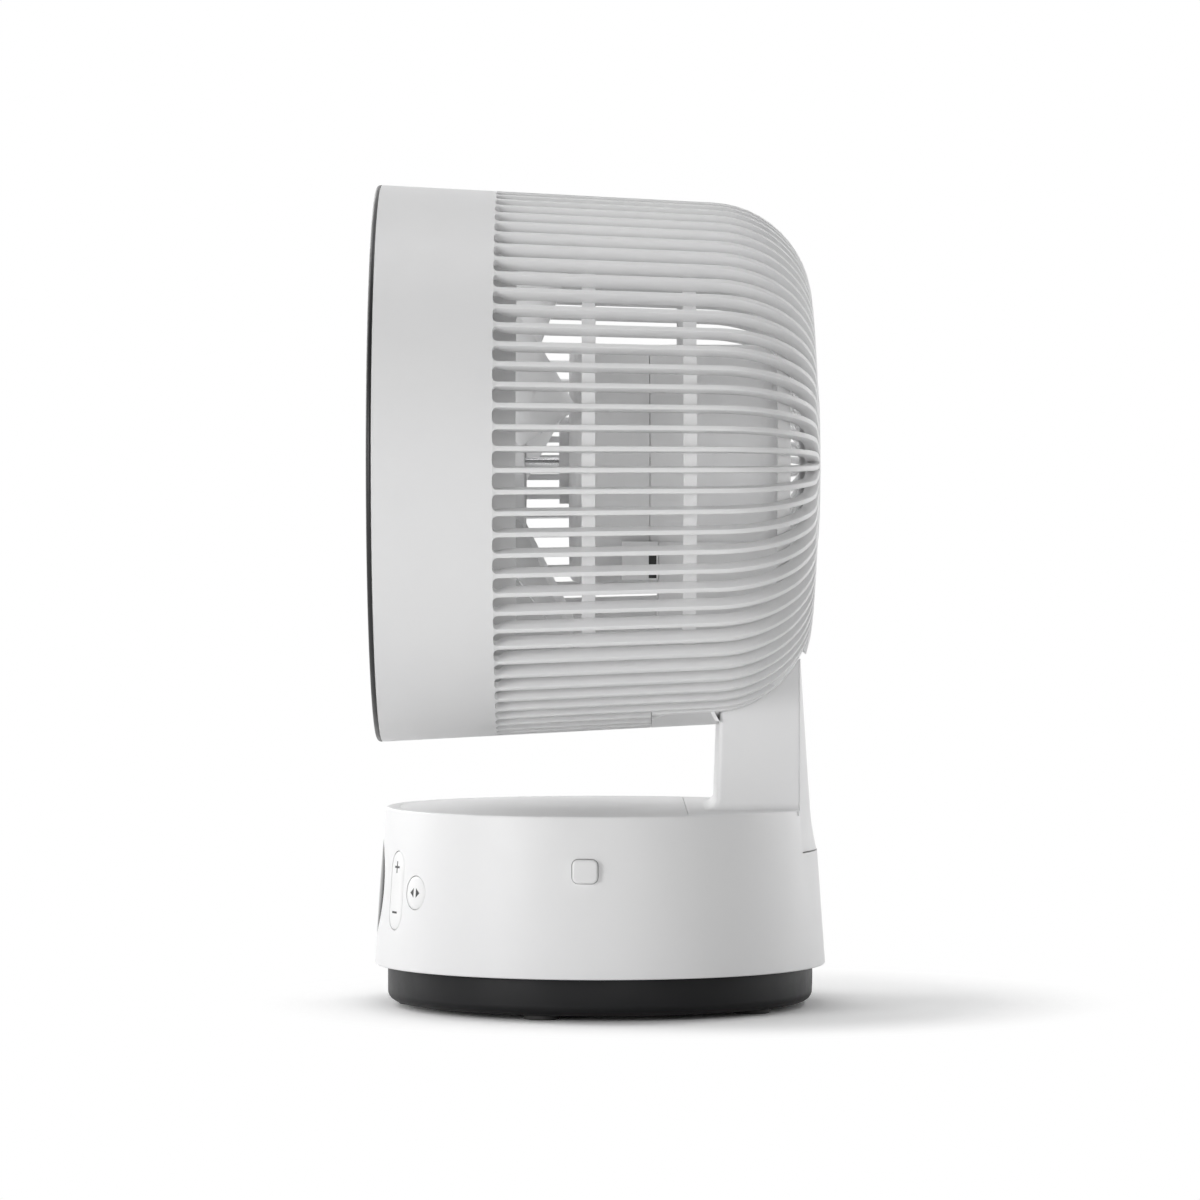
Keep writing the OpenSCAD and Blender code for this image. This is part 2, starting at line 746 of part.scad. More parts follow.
// Boards behind the keys, each with two rocker switches and one key switch
module key_boards() {
  color(green) for (s = [-1, 1]) {
    arc_key(s * key_board_angle, control_z) translate([-key_board_w / 2, -key_board_h / 2, key_board_r - board_t])
      cube([key_board_w, key_board_h, board_t]);
    for (z = [-rocker_h / 4, rocker_h / 4]) arc_key(s * rocker_angle, control_z + z) key_switch(z);
    arc_key(s * round_angle, control_z) key_switch(0);
  }
}

module side_button() {
  face = base_wall_r(side_z) + side_proud;
  color(white) {
    side_place() translate([0, 0, face - button_l]) rounded_prism(side_w, side_h, side_corner, button_l);
    side_place() translate([0, 0, face - button_l]) rounded_prism(side_w + 2 * collar_w, side_h + 2 * collar_w,
      side_corner + collar_w, key_depth);
  }
}

module side_switch() {
  back = base_wall_r(side_z) + side_proud - button_l - side_travel - gap;
  color(dark) {
    side_place() translate([-switch_w, -switch_w, back - switch_l]) cube([2 * switch_w, 2 * switch_w, switch_l]);
    translate([back - switch_l - board_t, -side_forward - switch_w, chassis_top_z])
      cube([board_t, 2 * switch_w, side_z + switch_w - chassis_top_z]);
  }
}

module board_corners() for (x = [pillar_inset - main_board_w / 2, main_board_w / 2 - pillar_inset],
  y = [pillar_inset - main_board_l / 2, main_board_l / 2 - pillar_inset])
  translate([x, main_board_y + y, 0]) children();

module main_board() {
  color(green) {
    difference() {
      translate([-main_board_w / 2, main_board_y - main_board_l / 2, main_board_z])
        cube([main_board_w, main_board_l, board_t]);
      board_corners() translate([0, 0, main_board_z - 1]) cylinder(r = screw_r + fit, h = board_t + 2);
    }
    translate([0, main_board_y, main_board_z + board_t - eps]) {
      translate([driver_x, driver_y, 0]) cube(driver_size);
      translate([capacitor_x, capacitor_y, 0]) cylinder(r = capacitor_r, h = capacitor_h);
      translate([terminal_x, terminal_y, 0]) cube(terminal_size);
    }
  }
}

module board_pillars() {
  color(steel) board_corners() {
    translate([0, 0, chassis_top_z]) cylinder(r = pillar_r, h = main_board_z - chassis_top_z);
    translate([0, 0, main_board_z - eps]) cylinder(r = screw_r, h = board_t + 2 * eps);
    translate([0, 0, main_board_z + board_t]) cylinder(r = pillar_r, h = screw_head_t);
  }
}

// Neck

function neck_front(z) = neck_front_low + (z - base_top_z) * neck_lean;

// Side view of the neck, made smaller by an inset on its front and its round top
module neck_side(inset, rear, low_z) {
  polygon([[neck_front(low_z) + inset, low_z], [rear, low_z], [rear, tilt_z + eps],
    [neck_front(tilt_z) + inset, tilt_z + eps]]);
  intersection() {
    translate([tilt_y, tilt_z]) circle(neck_top_r - inset);
    translate([neck_front(tilt_z) + inset, tilt_z]) square([rear - neck_front(tilt_z) - inset, 2 * neck_top_r]);
  }
}

// Extrudes a side view [y, z] along X between two places
module along_x(x0, x1) translate([x0, 0, 0]) rotate([90, 0, 90]) linear_extrude(x1 - x0) children();

module neck_shell() {
  color(white) difference() {
    union() {
      difference() {
        translate([0, 0, plate_bottom_z]) cylinder(r = rim_r - gap / 2, h = wall);
        translate([-base_r, -2 * base_r + seam_y + gap / 2, plate_bottom_z - 1])
          cube([2 * base_r, 2 * base_r, wall + 2]);
        translate([-base_r, cover_seat_y, plate_bottom_z - 1]) cube([2 * base_r, base_r, wall + 2]);
      }
      along_x(-neck_half, neck_half) neck_side(0, cover_seat_y, plate_bottom_z);
      along_x(-neck_half, neck_half) difference() {
        translate([neck_front(base_top_z) - neck_fillet, base_top_z - eps]) square(neck_fillet + 0.5);
        translate([neck_front(base_top_z) - neck_fillet, base_top_z + neck_fillet]) circle(neck_fillet);
      }
    }
    difference() {
      along_x(wall - neck_half, neck_half - wall) neck_side(wall, base_r, plate_bottom_z - 1);
      for (s = [-1, 1]) translate([s * (slot_half + cheek_t / 2), 0, 0])
        along_x(-cheek_t / 2, cheek_t / 2) neck_side(0, cover_seat_y, cheek_low_z);
    }
    along_x(-slot_half, slot_half) translate([tilt_y - stem_t / 2 - 2 * gap, tilt_z]) square(2 * neck_top_r);
    translate([-slot_half - cheek_t - 1, tilt_y, tilt_z]) rotate([0, 90, 0])
      cylinder(r = axle_r + fit, h = 2 * (slot_half + cheek_t + 1));
  }
}

// Rear outline of the neck cover, flaring where it runs down onto the base
function cover_y(z) = cover_top_y + 0.068 * (cover_top_z - z) + 1.5 * pow(max(0, base_top_z - z) / 18, 2);

module cover_slice(z, inset) {
  half = neck_half - inset;
  translate([0, 0, z]) linear_extrude(eps) polygon(concat([[-half, cover_seat_y - (inset > 0 ? 1 : 0)]],
    [for (i = [-8:8]) [half * i / 8, cover_y(z) - inset - (cover_y(z) - neck_edge_y) * i * i / 64]],
    [[half, cover_seat_y - (inset > 0 ? 1 : 0)]]));
}

module neck_cover() {
  color(white) difference() {
    intersection() {
      neck_cover_block();
      along_x(-base_r, base_r) {
        translate([tilt_y, tilt_z]) circle(neck_top_r);
        square([2 * base_r, tilt_z + eps]);
      }
    }
    hull() {
      cover_slice(tongue_z + cover_t, cover_t);
      cover_slice(base_top_z, cover_t);
    }
    hull() {
      cover_slice(base_top_z - 1, cover_t);
      cover_slice(cover_top_z + 1, cover_t);
    }
    translate([-slot_half, cover_seat_y - 1, tilt_z + neck_top_r / 2]) cube([2 * slot_half, base_r, neck_top_r]);
  }
}

module neck_cover_block() {
  mid_z = (tongue_z + base_top_z) / 2;
  hull() {
    cover_slice(tongue_z, 0);
    cover_slice(mid_z, 0);
  }
  hull() {
    cover_slice(mid_z, 0);
    cover_slice(base_top_z, 0);
  }
  hull() {
    cover_slice(base_top_z, 0);
    cover_slice(cover_top_z, 0);
  }
}

module tilt_axle() {
  color(steel) translate([-slot_half - cheek_t - 2, tilt_y, tilt_z]) rotate([0, 90, 0])
    cylinder(r = axle_r, h = 2 * (slot_half + cheek_t + 2));
}

module axle_caps() {
  color(steel) for (s = [-1, 1]) translate([s * (slot_half + cheek_t + fit + axle_head_t / 2), tilt_y, tilt_z])
    rotate([0, 90, 0]) translate([0, 0, -axle_head_t / 2]) tube(axle_head_r, axle_r + fit, axle_head_t);
}

module friction_washers() {
  color(grey) for (s = [-1, 1]) translate([s * (slot_half - friction_t / 2), tilt_y, tilt_z])
    rotate([0, 90, 0]) translate([0, 0, -friction_t / 2]) tube(lug_r - 2, axle_r + fit, friction_t);
}

// Head

module head_outline(inset) {
  start = [shoulder_x + (shoulder_r - inset) * cos(head_taper), shoulder_y + (shoulder_r - inset) * sin(head_taper)];
  out = [shoulder_x, shoulder_y - dome_y] / norm([shoulder_x, shoulder_y - dome_y]);
  dome_edge = [0, dome_y] + (dome_r - inset) * out;
  polygon([[0, drum_front], [side_r(drum_front) - inset / cos(head_taper), drum_front], start,
    [shoulder_x, shoulder_y], dome_edge, [0, dome_edge.y]]);
  translate([shoulder_x, shoulder_y]) circle(shoulder_r - inset);
  intersection() {
    translate([0, dome_y]) circle(dome_r - inset);
    translate([0, dome_edge.y - eps]) square([dome_edge.x, dome_r]);
  }
}

module head_layer(outer, inner, y0, y1) {
  rotate_extrude() intersection() {
    difference() {
      head_outline(outer);
      head_outline(inner);
    }
    translate([0, y0]) square([2 * head_r, y1 - y0]);
  }
}

module head_drum() {
  color(white) on_head_axis() difference() {
    union() {
      head_layer(0, drum_t, drum_front, drum_rear);
      translate([0, 0, ledge_front]) tube(grille_r + gap + drum_t / 2, grille_r - 2 * screw_head_r - 1, ledge_t);
    }
    grille_screw_places() translate([0, 0, duct_t - 1]) cylinder(r = screw_r + fit, h = ledge_t + 2);
  }
}

dome_lean = atan2(shoulder_x, shoulder_y - dome_y);
shoulder_steps = 4;
flat_rise = (shoulder_r - rib_depth) * (1 - cos((90 - dome_lean - head_taper) / shoulder_steps / 2));
disc_y = dome_y + sqrt(dome_r * dome_r - disc_r * disc_r);

// The cage's outline in flats, as wide as the head less an inset
module cage_region(inset) hull() polygon(concat(
  [[0, drum_rear], [side_r(drum_rear) - inset, drum_rear]],
  [for (i = [0:shoulder_steps]) let (a = head_taper + i * (90 - dome_lean - head_taper) / shoulder_steps)
    [shoulder_x + (shoulder_r - inset) * cos(a), shoulder_y + (shoulder_r - inset) * sin(a)]],
  [[disc_r, disc_y - inset], [0, disc_y - inset]]));

// The ribs between two places along the head's axis
module ribs(y0, y1) for (i = [0:rib_count - 1]) rotate([0, 0, (i + 0.5) * 360 / rib_count]) rotate([90, 0, 0])
  linear_extrude(rib_t, center = true) intersection() {
    difference() {
      cage_region(0);
      cage_region(rib_depth);
      square([disc_r - 1, head_rear]);
    }
    translate([0, y0]) square([2 * head_r, y1 - y0]);
  }

module rear_cage() {
  color(white) difference() {
    on_head_axis() {
      rotate([0, 0, 180 / rib_count]) translate([0, 0, drum_rear + gap])
        tube(side_r(drum_rear) - collar_inset, side_r(drum_rear) - rib_depth + collar_inset, collar_l, rib_count);
      ribs(drum_rear - 1, hoop_3_y);
    }
    well_space(cut_gap, 24);
  }
}

// Back of the cage, which meets the side ribs at the rear hoop
module cage_back() {
  color(white) difference() {
    on_head_axis() {
      ribs(hoop_3_y + fit, head_rear + 1);
      rotate([0, 0, 180 / rib_count]) translate([0, 0, disc_y - rib_depth + collar_inset])
        cylinder(r = disc_r, h = head_rear - disc_y + rib_depth - collar_inset, $fn = rib_count / 2);
    }
    well_space(cut_gap, 24);
    on_head_axis() back_window();
  }
}

// Window behind the neck, where the side ends of the lowest ribs are left out
module back_window() linear_extrude(2 * head_rear) difference() {
  polygon([[0, 0], for (s = [1, -1]) 2 * head_r * [s * sin(window_angle), cos(window_angle)]]);
  circle(window_r);
}

module cage_hoops() {
  color(white) difference() {
    on_head_axis() {
      for (y = [hoop_1_y, hoop_2_y]) head_layer(rib_depth + fit, rib_depth + hoop_t, y, y + hoop_w);
      head_layer(rib_depth + flat_rise + fit, rib_depth + hoop_t, hoop_3_y, hoop_3_y + hoop_w);
    }
    well_space(cut_gap, 96);
  }
}

// Space in the head that the neck's top and the well round it take
module well_space(grow, steps) {
  half = well_half + well_t + grow;
  translate([-half, panel_front - grow, 0]) cube([2 * half, head_rear + 20, tilt_z]);
  translate([-half, tilt_y, tilt_z]) rotate([0, 90, 0])
    cylinder(r = well_inner_r + well_t + grow, h = 2 * half, $fn = steps);
}

module well_side() {
  intersection() {
    union() {
      translate([panel_front, 0]) square([head_rear, tilt_z]);
      translate([tilt_y, tilt_z]) circle(well_inner_r + well_t);
    }
    square([2 * head_r, head_z]);
  }
}

// Everything outside the head's outline made smaller by an inset
module outside_head(inset) on_head_axis() rotate_extrude() difference() {
  translate([disc_r, drum_rear]) square([2 * head_r, 2 * head_rear]);
  head_outline(inset);
}

// The two plates beside the neck
module well_plates() {
  difference() {
    for (s = [-1, 1]) translate([s * (well_half + well_t / 2), 0, 0]) along_x(-well_t / 2, well_t / 2) well_side();
    outside_head(0);
  }
  difference() {
    for (s = [-1, 1]) translate([s * (well_half + well_t / 2), 0, 0]) along_x(-well_t / 2, well_t / 2)
      translate([well_front, tilt_z - 5]) square([motor_rear - well_front, head_z - tilt_z]);
    outside_head(rib_depth + hoop_t + gap);
  }
}

module well_shroud() {
  difference() {
    along_x(-well_half - 1, well_half + 1) difference() {
      translate([tilt_y, tilt_z]) circle(well_inner_r + well_t - 0.4);
      translate([tilt_y, tilt_z]) circle(well_inner_r);
      translate([tilt_y - 2 * neck_top_r, 0]) square([4 * neck_top_r, tilt_z - well_inner_r / 2 - 2]);
    }
    outside_head(panel_t + fit);
  }
}

module neck_well() {
  color(grey) difference() {
    union() {
      well_plates();
      well_shroud();
      difference() {
        translate([-well_half - 1, well_front, tilt_z - 5]) cube([2 * well_half + 2, well_t, head_z - tilt_z]);
        outside_head(rib_depth + 0.5);
      }
    }
    along_x(-well_half, well_half) translate([neck_front(tilt_z) - 2 * gap, 0]) square([2 * head_r, tilt_z]);
    on_head_axis() translate([0, 0, drum_front]) cylinder(r = motor_r + gap, h = 2 * head_rear);
    translate([-lug_w / 2 - gap, tilt_y - stem_t / 2 - gap, tilt_z])
      cube([lug_w + 2 * gap, stem_t + 2 * gap, head_z]);
  }
}

// Smooth panel on the underside of the head in front of the neck
module underside_panel() {
  color(white) difference() {
    intersection() {
      on_head_axis() head_layer(0, panel_t, panel_front, tilt_y);
      linear_extrude(head_z) polygon([[-well_half, tilt_y], [-well_half, panel_front + panel_chamfer],
        [-well_half + panel_chamfer, panel_front], [well_half - panel_chamfer, panel_front],
        [well_half, panel_front + panel_chamfer], [well_half, tilt_y]]);
    }
    translate([-2 * neck_w, neck_front(tilt_z) - 2 * gap, 0]) cube([4 * neck_w, head_r, head_z]);
  }
}

module tilt_bracket() {
  saddle_z = head_z - motor_r - saddle_t;
  color(steel) difference() {
    union() {
      along_x(-lug_w / 2, lug_w / 2) {
        translate([tilt_y, tilt_z]) circle(lug_r);
        translate([tilt_y - stem_t / 2, tilt_z]) square([stem_t, saddle_z + saddle_t - tilt_z]);
      }
      translate([-saddle_w / 2, saddle_y, saddle_z])
        cube([saddle_w, tilt_y + stem_t / 2 - saddle_y, saddle_t + saddle_rise]);
    }
    on_head_axis() cylinder(r = motor_r + fit, h = head_rear);
    translate([-lug_w, tilt_y, tilt_z]) rotate([0, 90, 0]) cylinder(r = axle_r + fit, h = 2 * lug_w);
    bracket_screw_places() translate([0, 0, -1]) cylinder(r = screw_r + fit, h = 2 * saddle_t);
  }
}

module bracket_screw_places() for (x = [-saddle_screw_x, saddle_screw_x], y = [0, saddle_screw_step])
  translate([x, saddle_y + saddle_screw_inset + y, head_z - motor_r - saddle_t]) children();

module bracket_screws() {
  color(steel) bracket_screw_places() translate([0, 0, bracket_screw_l]) rotate([180, 0, 0]) screw(bracket_screw_l);
}

module air_duct() {
  color(grey) on_head_axis() {
    translate([0, 0, grille_rear]) tube(duct_inner_r + duct_t, duct_inner_r, duct_rear - grille_rear);
    difference() {
      translate([0, 0, grille_rear]) tube(grille_r, duct_inner_r, duct_t);
      grille_screw_places() translate([0, 0, -1]) cylinder(r = screw_r + fit, h = 2 * duct_t);
    }
  }
}

module trim_ring() {
  color(black) on_head_axis() translate([0, 0, -head_front]) rotate_extrude() {
    translate([head_r - trim_w, 0]) square([trim_w - trim_round, trim_t]);
    translate([head_r - trim_w, trim_round]) square([trim_w, trim_t - trim_round]);
    translate([head_r - trim_round, trim_round]) circle(trim_round);
  }
}

// One side of a vane, an arc from the cap to the open ring
function vane_points(r, flip) = let (d = vane_r - 5, n = 8,
  a0 = acos((d * d + r * r - pow(cap_r - 2, 2)) / (2 * d * r)),
  a1 = acos((d * d + r * r - pow(grille_open_r + 0.5, 2)) / (2 * d * r)))
  [for (i = [0:n]) let (a = a0 + (flip ? n - i : i) * (a1 - a0) / n) [d - r * cos(a), r * sin(a)]];

module front_grille() {
  color(white) on_head_axis() {
    difference() {
      translate([0, 0, drum_front]) tube(grille_r, grille_open_r, grille_rear - drum_front);
      grille_screw_places() translate([0, 0, -4]) cylinder(r = screw_r + fit, h = 5);
    }
    translate([0, 0, grille_front]) linear_extrude(vane_depth) {
      difference() {
        circle(head_r - trim_w - fit);
        circle(grille_open_r);
      }
      circle(cap_r);
      for (i = [0:vane_count - 1]) rotate(i * 360 / vane_count)
        polygon(concat(vane_points(vane_r - vane_t / 2, false), vane_points(vane_r + vane_t / 2, true)));
    }
  }
}

module grille_screw_places() for (a = [45:90:315])
  rotate([0, 0, a]) translate([grille_r - screw_head_r - 0.5, 0, grille_rear]) children();

module grille_screws() {
  color(steel) on_head_axis() grille_screw_places() translate([0, 0, duct_t + ledge_t - grille_screw_l])
    screw(grille_screw_l);
}

// Motor

module motor_bracket() {
  color(grey) on_head_axis() difference() {
    union() {
      difference() {
        rotate_extrude() {
          translate([0, motor_front + motor_round])
            square([motor_r, motor_seam - motor_front - motor_round - seam_gap]);
          translate([0, motor_front]) square([motor_r - motor_round, motor_round + 1]);
          translate([motor_r - motor_round, motor_front + motor_round]) circle(motor_round);
        }
        translate([0, 0, motor_front + motor_wall]) cylinder(r = motor_r - motor_wall, h = motor_rear);
      }
      translate([0, 0, motor_front - boss_l]) cylinder(r = boss_r, h = boss_l + motor_wall + bearing_w);
    }
    translate([0, 0, motor_front - boss_l - 1]) cylinder(r = shaft_r + 1, h = motor_rear);
    translate([0, 0, motor_front + motor_wall]) cylinder(r = bearing_r + fit, h = motor_rear);
  }
}

// Arms that reach from the motor bracket to the front hoop
module motor_arms() {
  color(grey) on_head_axis() for (i = [0:arm_count - 1]) rotate([0, 0, (i + 0.5) * 360 / arm_count])
    translate([motor_r + fit, -arm_w / 2, hoop_1_y]) cube([arm_end_r - motor_r - fit, arm_w, hoop_w]);
}

module motor_case() {
  color(grey) difference() {
    on_head_axis() {
      difference() {
        rotate_extrude() {
          translate([0, motor_seam + seam_gap])
            square([motor_r, motor_rear - motor_back_round - motor_seam - seam_gap]);
          translate([0, motor_seam + 1]) square([motor_r - motor_back_round, motor_rear - motor_seam - 1]);
          translate([motor_r - motor_back_round, motor_rear - motor_back_round]) circle(motor_back_round);
        }
        translate([0, 0, motor_seam - 1])
          cylinder(r = motor_r - motor_wall, h = motor_rear - motor_back_round - motor_seam);
        translate([0, 0, motor_seam - 1])
          cylinder(r = motor_r - motor_back_round, h = motor_rear - motor_wall - motor_seam + 1);
        bearing_bore();
      }
      difference() {
        translate([0, 0, rear_bearing_y])
          cylinder(r = bearing_r + motor_wall, h = motor_rear - motor_wall - rear_bearing_y + eps);
        bearing_bore();
      }
    }
    bracket_screw_places() translate([0, 0, saddle_t - 1]) cylinder(r = screw_r + fit, h = 3 * saddle_t);
  }
}

// Box on the motor's side where its cable comes out
module cable_outlet() {
  color(grey) difference() {
    outlet_block(outlet_w, outlet_l, outlet_h, 0);
    on_head_axis() cylinder(r = motor_r + fit, h = motor_rear);
    outlet_block(outlet_w + 1, grommet_l + fit, grommet_h + fit, grommet_inset - fit);
  }
}

module cable_grommet() {
  color(dark) difference() {
    outlet_block(outlet_w - 0.5, grommet_l, grommet_h, grommet_inset);
    on_head_axis() cylinder(r = motor_r + fit, h = motor_rear);
  }
}

// Block beside the motor, set in from the outlet's rear lower corner
module outlet_block(w, l, h, inset) translate([outlet_x - outlet_w, outlet_rear - inset - l, outlet_low_z + inset])
  cube([w, l, h]);

module bearing_bore() translate([0, 0, rear_bearing_y - 1]) cylinder(r = bearing_r + fit, h = bearing_w + 1 + fit);

module bearing() tube(bearing_r, shaft_r + fit, bearing_w);

module front_bearing() {
  color(steel) on_head_axis() translate([0, 0, motor_front + motor_wall]) bearing();
}

module rear_bearing() {
  color(steel) on_head_axis() translate([0, 0, rear_bearing_y]) bearing();
}

module motor_stator() {
  color("#9a6a3c") on_head_axis() translate([0, 0, motor_mid - stator_l / 2]) {
    tube(motor_r - motor_wall - gap, stator_outer_r - 1, stator_l / 2);
    tube(stator_outer_r, stator_inner_r, stator_l);
  }
}

module motor_rotor() {
  color(steel) on_head_axis() translate([0, 0, motor_mid - stator_l / 2]) tube(rotor_r, shaft_r + fit, stator_l);
}

module motor_board() {
  color(green) on_head_axis() translate([0, 0, motor_mid + stator_l / 2 + 6])
    tube(motor_r - motor_wall - gap, bearing_r + motor_wall + 2, board_t);
}

module motor_shaft() {
  color(steel) on_head_axis() translate([0, 0, hub_rear - hub_l - 4])
    cylinder(r = shaft_r, h = rear_bearing_y + bearing_w - hub_rear + hub_l + 4);
}

// A point of a blade: u from root to tip, v from its front edge to its rear edge
function blade_point(u, v, side) = let (r = hub_r - 2 + u * (impeller_r - hub_r + 2),
  depth = blade_root_l + u * (blade_l - blade_root_l), rear = hub_rear - 2 + u * (blade_rear - hub_rear + 2),
  a = blade_span * v)
  [r * cos(a), r * sin(a), rear - depth * (1 - v) + side * blade_t / 2 / cos(30)];

module blade() {
  w = tip_steps + 1;
  points = [for (side = [-1, 1]) for (i = [0:root_steps]) for (j = [0:tip_steps])
    blade_point(i / root_steps, j / tip_steps, side)];
  n = (root_steps + 1) * w;
  skin = [for (i = [0:root_steps - 1]) for (j = [0:tip_steps - 1]) let (p = i * w + j)
    each [[p, p + 1, p + w], [p + 1, p + w + 1, p + w], [n + p, n + p + w, n + p + 1],
      [n + p + 1, n + p + w, n + p + w + 1]]];
  ends = [for (j = [0:tip_steps - 1]) let (q = root_steps * w + j)
    each [[j, n + j, j + 1], [j + 1, n + j, n + j + 1], [q, q + 1, n + q], [q + 1, n + q + 1, n + q]]];
  edges = [for (i = [0:root_steps - 1]) let (p = i * w, q = i * w + tip_steps)
    each [[p, p + w, n + p], [p + w, n + p + w, n + p], [q, n + q, q + w], [q + w, n + q, n + q + w]]];
  polyhedron(points = points, faces = [for (f = concat(skin, ends, edges)) [f[2], f[1], f[0]]]);
}

module impeller() {
  color(grey) on_head_axis() difference() {
    union() {
      difference() {
        translate([0, 0, hub_rear - hub_l]) cylinder(r = hub_r, h = hub_l);
        translate([0, 0, hub_rear - hub_l + hub_wall_t]) cylinder(r = hub_r - hub_wall_t, h = hub_l);
      }
      translate([0, 0, hub_rear - hub_l]) cylinder(r = shaft_r + 4, h = hub_l);
      difference() {
        for (i = [0:blade_count - 1]) rotate([0, 0, i * 360 / blade_count + rotor_angle]) blade();
        translate([0, 0, hub_rear - 2 * hub_l]) cylinder(r = hub_r - hub_wall_t / 2, h = 4 * hub_l);
      }
    }
    translate([0, 0, hub_rear - 2 * hub_l]) cylinder(r = shaft_r + fit, h = 4 * hub_l);
  }
}

module impeller_nut() {
  color(dark) on_head_axis() translate([0, 0, hub_rear - hub_l - 5]) difference() {
    cylinder(r = 8, h = 5, $fn = 6);
    translate([0, 0, 1]) cylinder(r = shaft_r + fit, h = 5);
  }
}

foot_pan();
rubber_feet();
ballast_ring();
ballast_screws();
power_inlet();
glide_ring();
swing_gear();
retaining_washer();
washer_screws();
base_shell();
base_chassis();
chassis_screws();
top_plate();
display_window();
display_module();
main_board();
board_pillars();
key_boards();
plus_minus_key();
timer_key();
swing_key();
power_key();
side_button();
side_switch();
swing_motor();
stepper_screws();
swing_pinion();
pinion_shaft();
neck_shell();
neck_cover();
tilt_axle();
axle_caps();
friction_washers();
tilt_bracket();
bracket_screws();
neck_well();
underside_panel();
head_drum();
rear_cage();
cage_back();
cage_hoops();
air_duct();
trim_ring();
front_grille();
grille_screws();
motor_bracket();
motor_arms();
motor_case();
cable_outlet();
cable_grommet();
motor_stator();
motor_board();
front_bearing();
rear_bearing();
motor_shaft();
motor_rotor();
impeller();
impeller_nut();
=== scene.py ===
"""Looks of a desk air circulator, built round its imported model, in the model's own frame and in metres."""

import logging
import math
from dataclasses import dataclass, field
from enum import Enum
from typing import Mapping, Sequence

import bmesh
import bpy
from mathutils import Matrix, Vector


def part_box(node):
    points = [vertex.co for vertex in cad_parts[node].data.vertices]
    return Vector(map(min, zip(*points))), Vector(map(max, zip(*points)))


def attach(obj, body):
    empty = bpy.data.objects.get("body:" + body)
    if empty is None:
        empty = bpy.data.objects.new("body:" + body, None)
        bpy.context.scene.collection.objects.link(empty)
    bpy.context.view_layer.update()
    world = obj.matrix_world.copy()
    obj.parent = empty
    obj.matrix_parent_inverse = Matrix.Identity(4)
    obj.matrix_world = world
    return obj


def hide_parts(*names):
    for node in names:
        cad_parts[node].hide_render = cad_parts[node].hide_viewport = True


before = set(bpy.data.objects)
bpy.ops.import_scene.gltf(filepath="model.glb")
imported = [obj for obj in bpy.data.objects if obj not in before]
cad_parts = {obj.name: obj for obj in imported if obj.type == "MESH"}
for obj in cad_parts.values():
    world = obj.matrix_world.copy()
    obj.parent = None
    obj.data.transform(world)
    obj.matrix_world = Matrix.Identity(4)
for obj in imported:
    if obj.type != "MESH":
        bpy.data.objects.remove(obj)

LOG = logging.getLogger("air_circulator")

Mesh = bpy.types.Mesh
Tree = bpy.types.NodeTree
Node = bpy.types.Node
Socket = bpy.types.NodeSocket
Point = tuple[float, float, float]
Flat = tuple[float, float]
Colour = tuple[float, float, float]
Corner = tuple[float, float, float]
Station = tuple[float, float, float, float]
Feed = Socket | float | Sequence[float]

SMOOTH = 35.0  # edges flatter than this many degrees are shaded smooth
SMOOTH_ROUND = 50.0  # the same on pieces whose edges are rounded in a few steps
DOUBLE = 2e-6  # points nearer to each other than this are one
FLAT_FACE = 1e-6  # faces and edges smaller than this are dropped
WELD = 4e-6  # elements of a ring that come nearer than this are joined
ON_AXIS = 1e-7  # radius of a profile's points on its axis, which merge into one pole
STRAIGHT = math.radians(89.5)  # half the angle past which a corner isn't rounded
SHARP = 1e-5  # radius of a corner that is drawn in past its centre
BEVEL_STEPS = 3


# Shapes


class Axis(Enum):
    """The line that a turned piece or a ring of elements is made round."""

    UP = "up"
    BLOW = "blow"


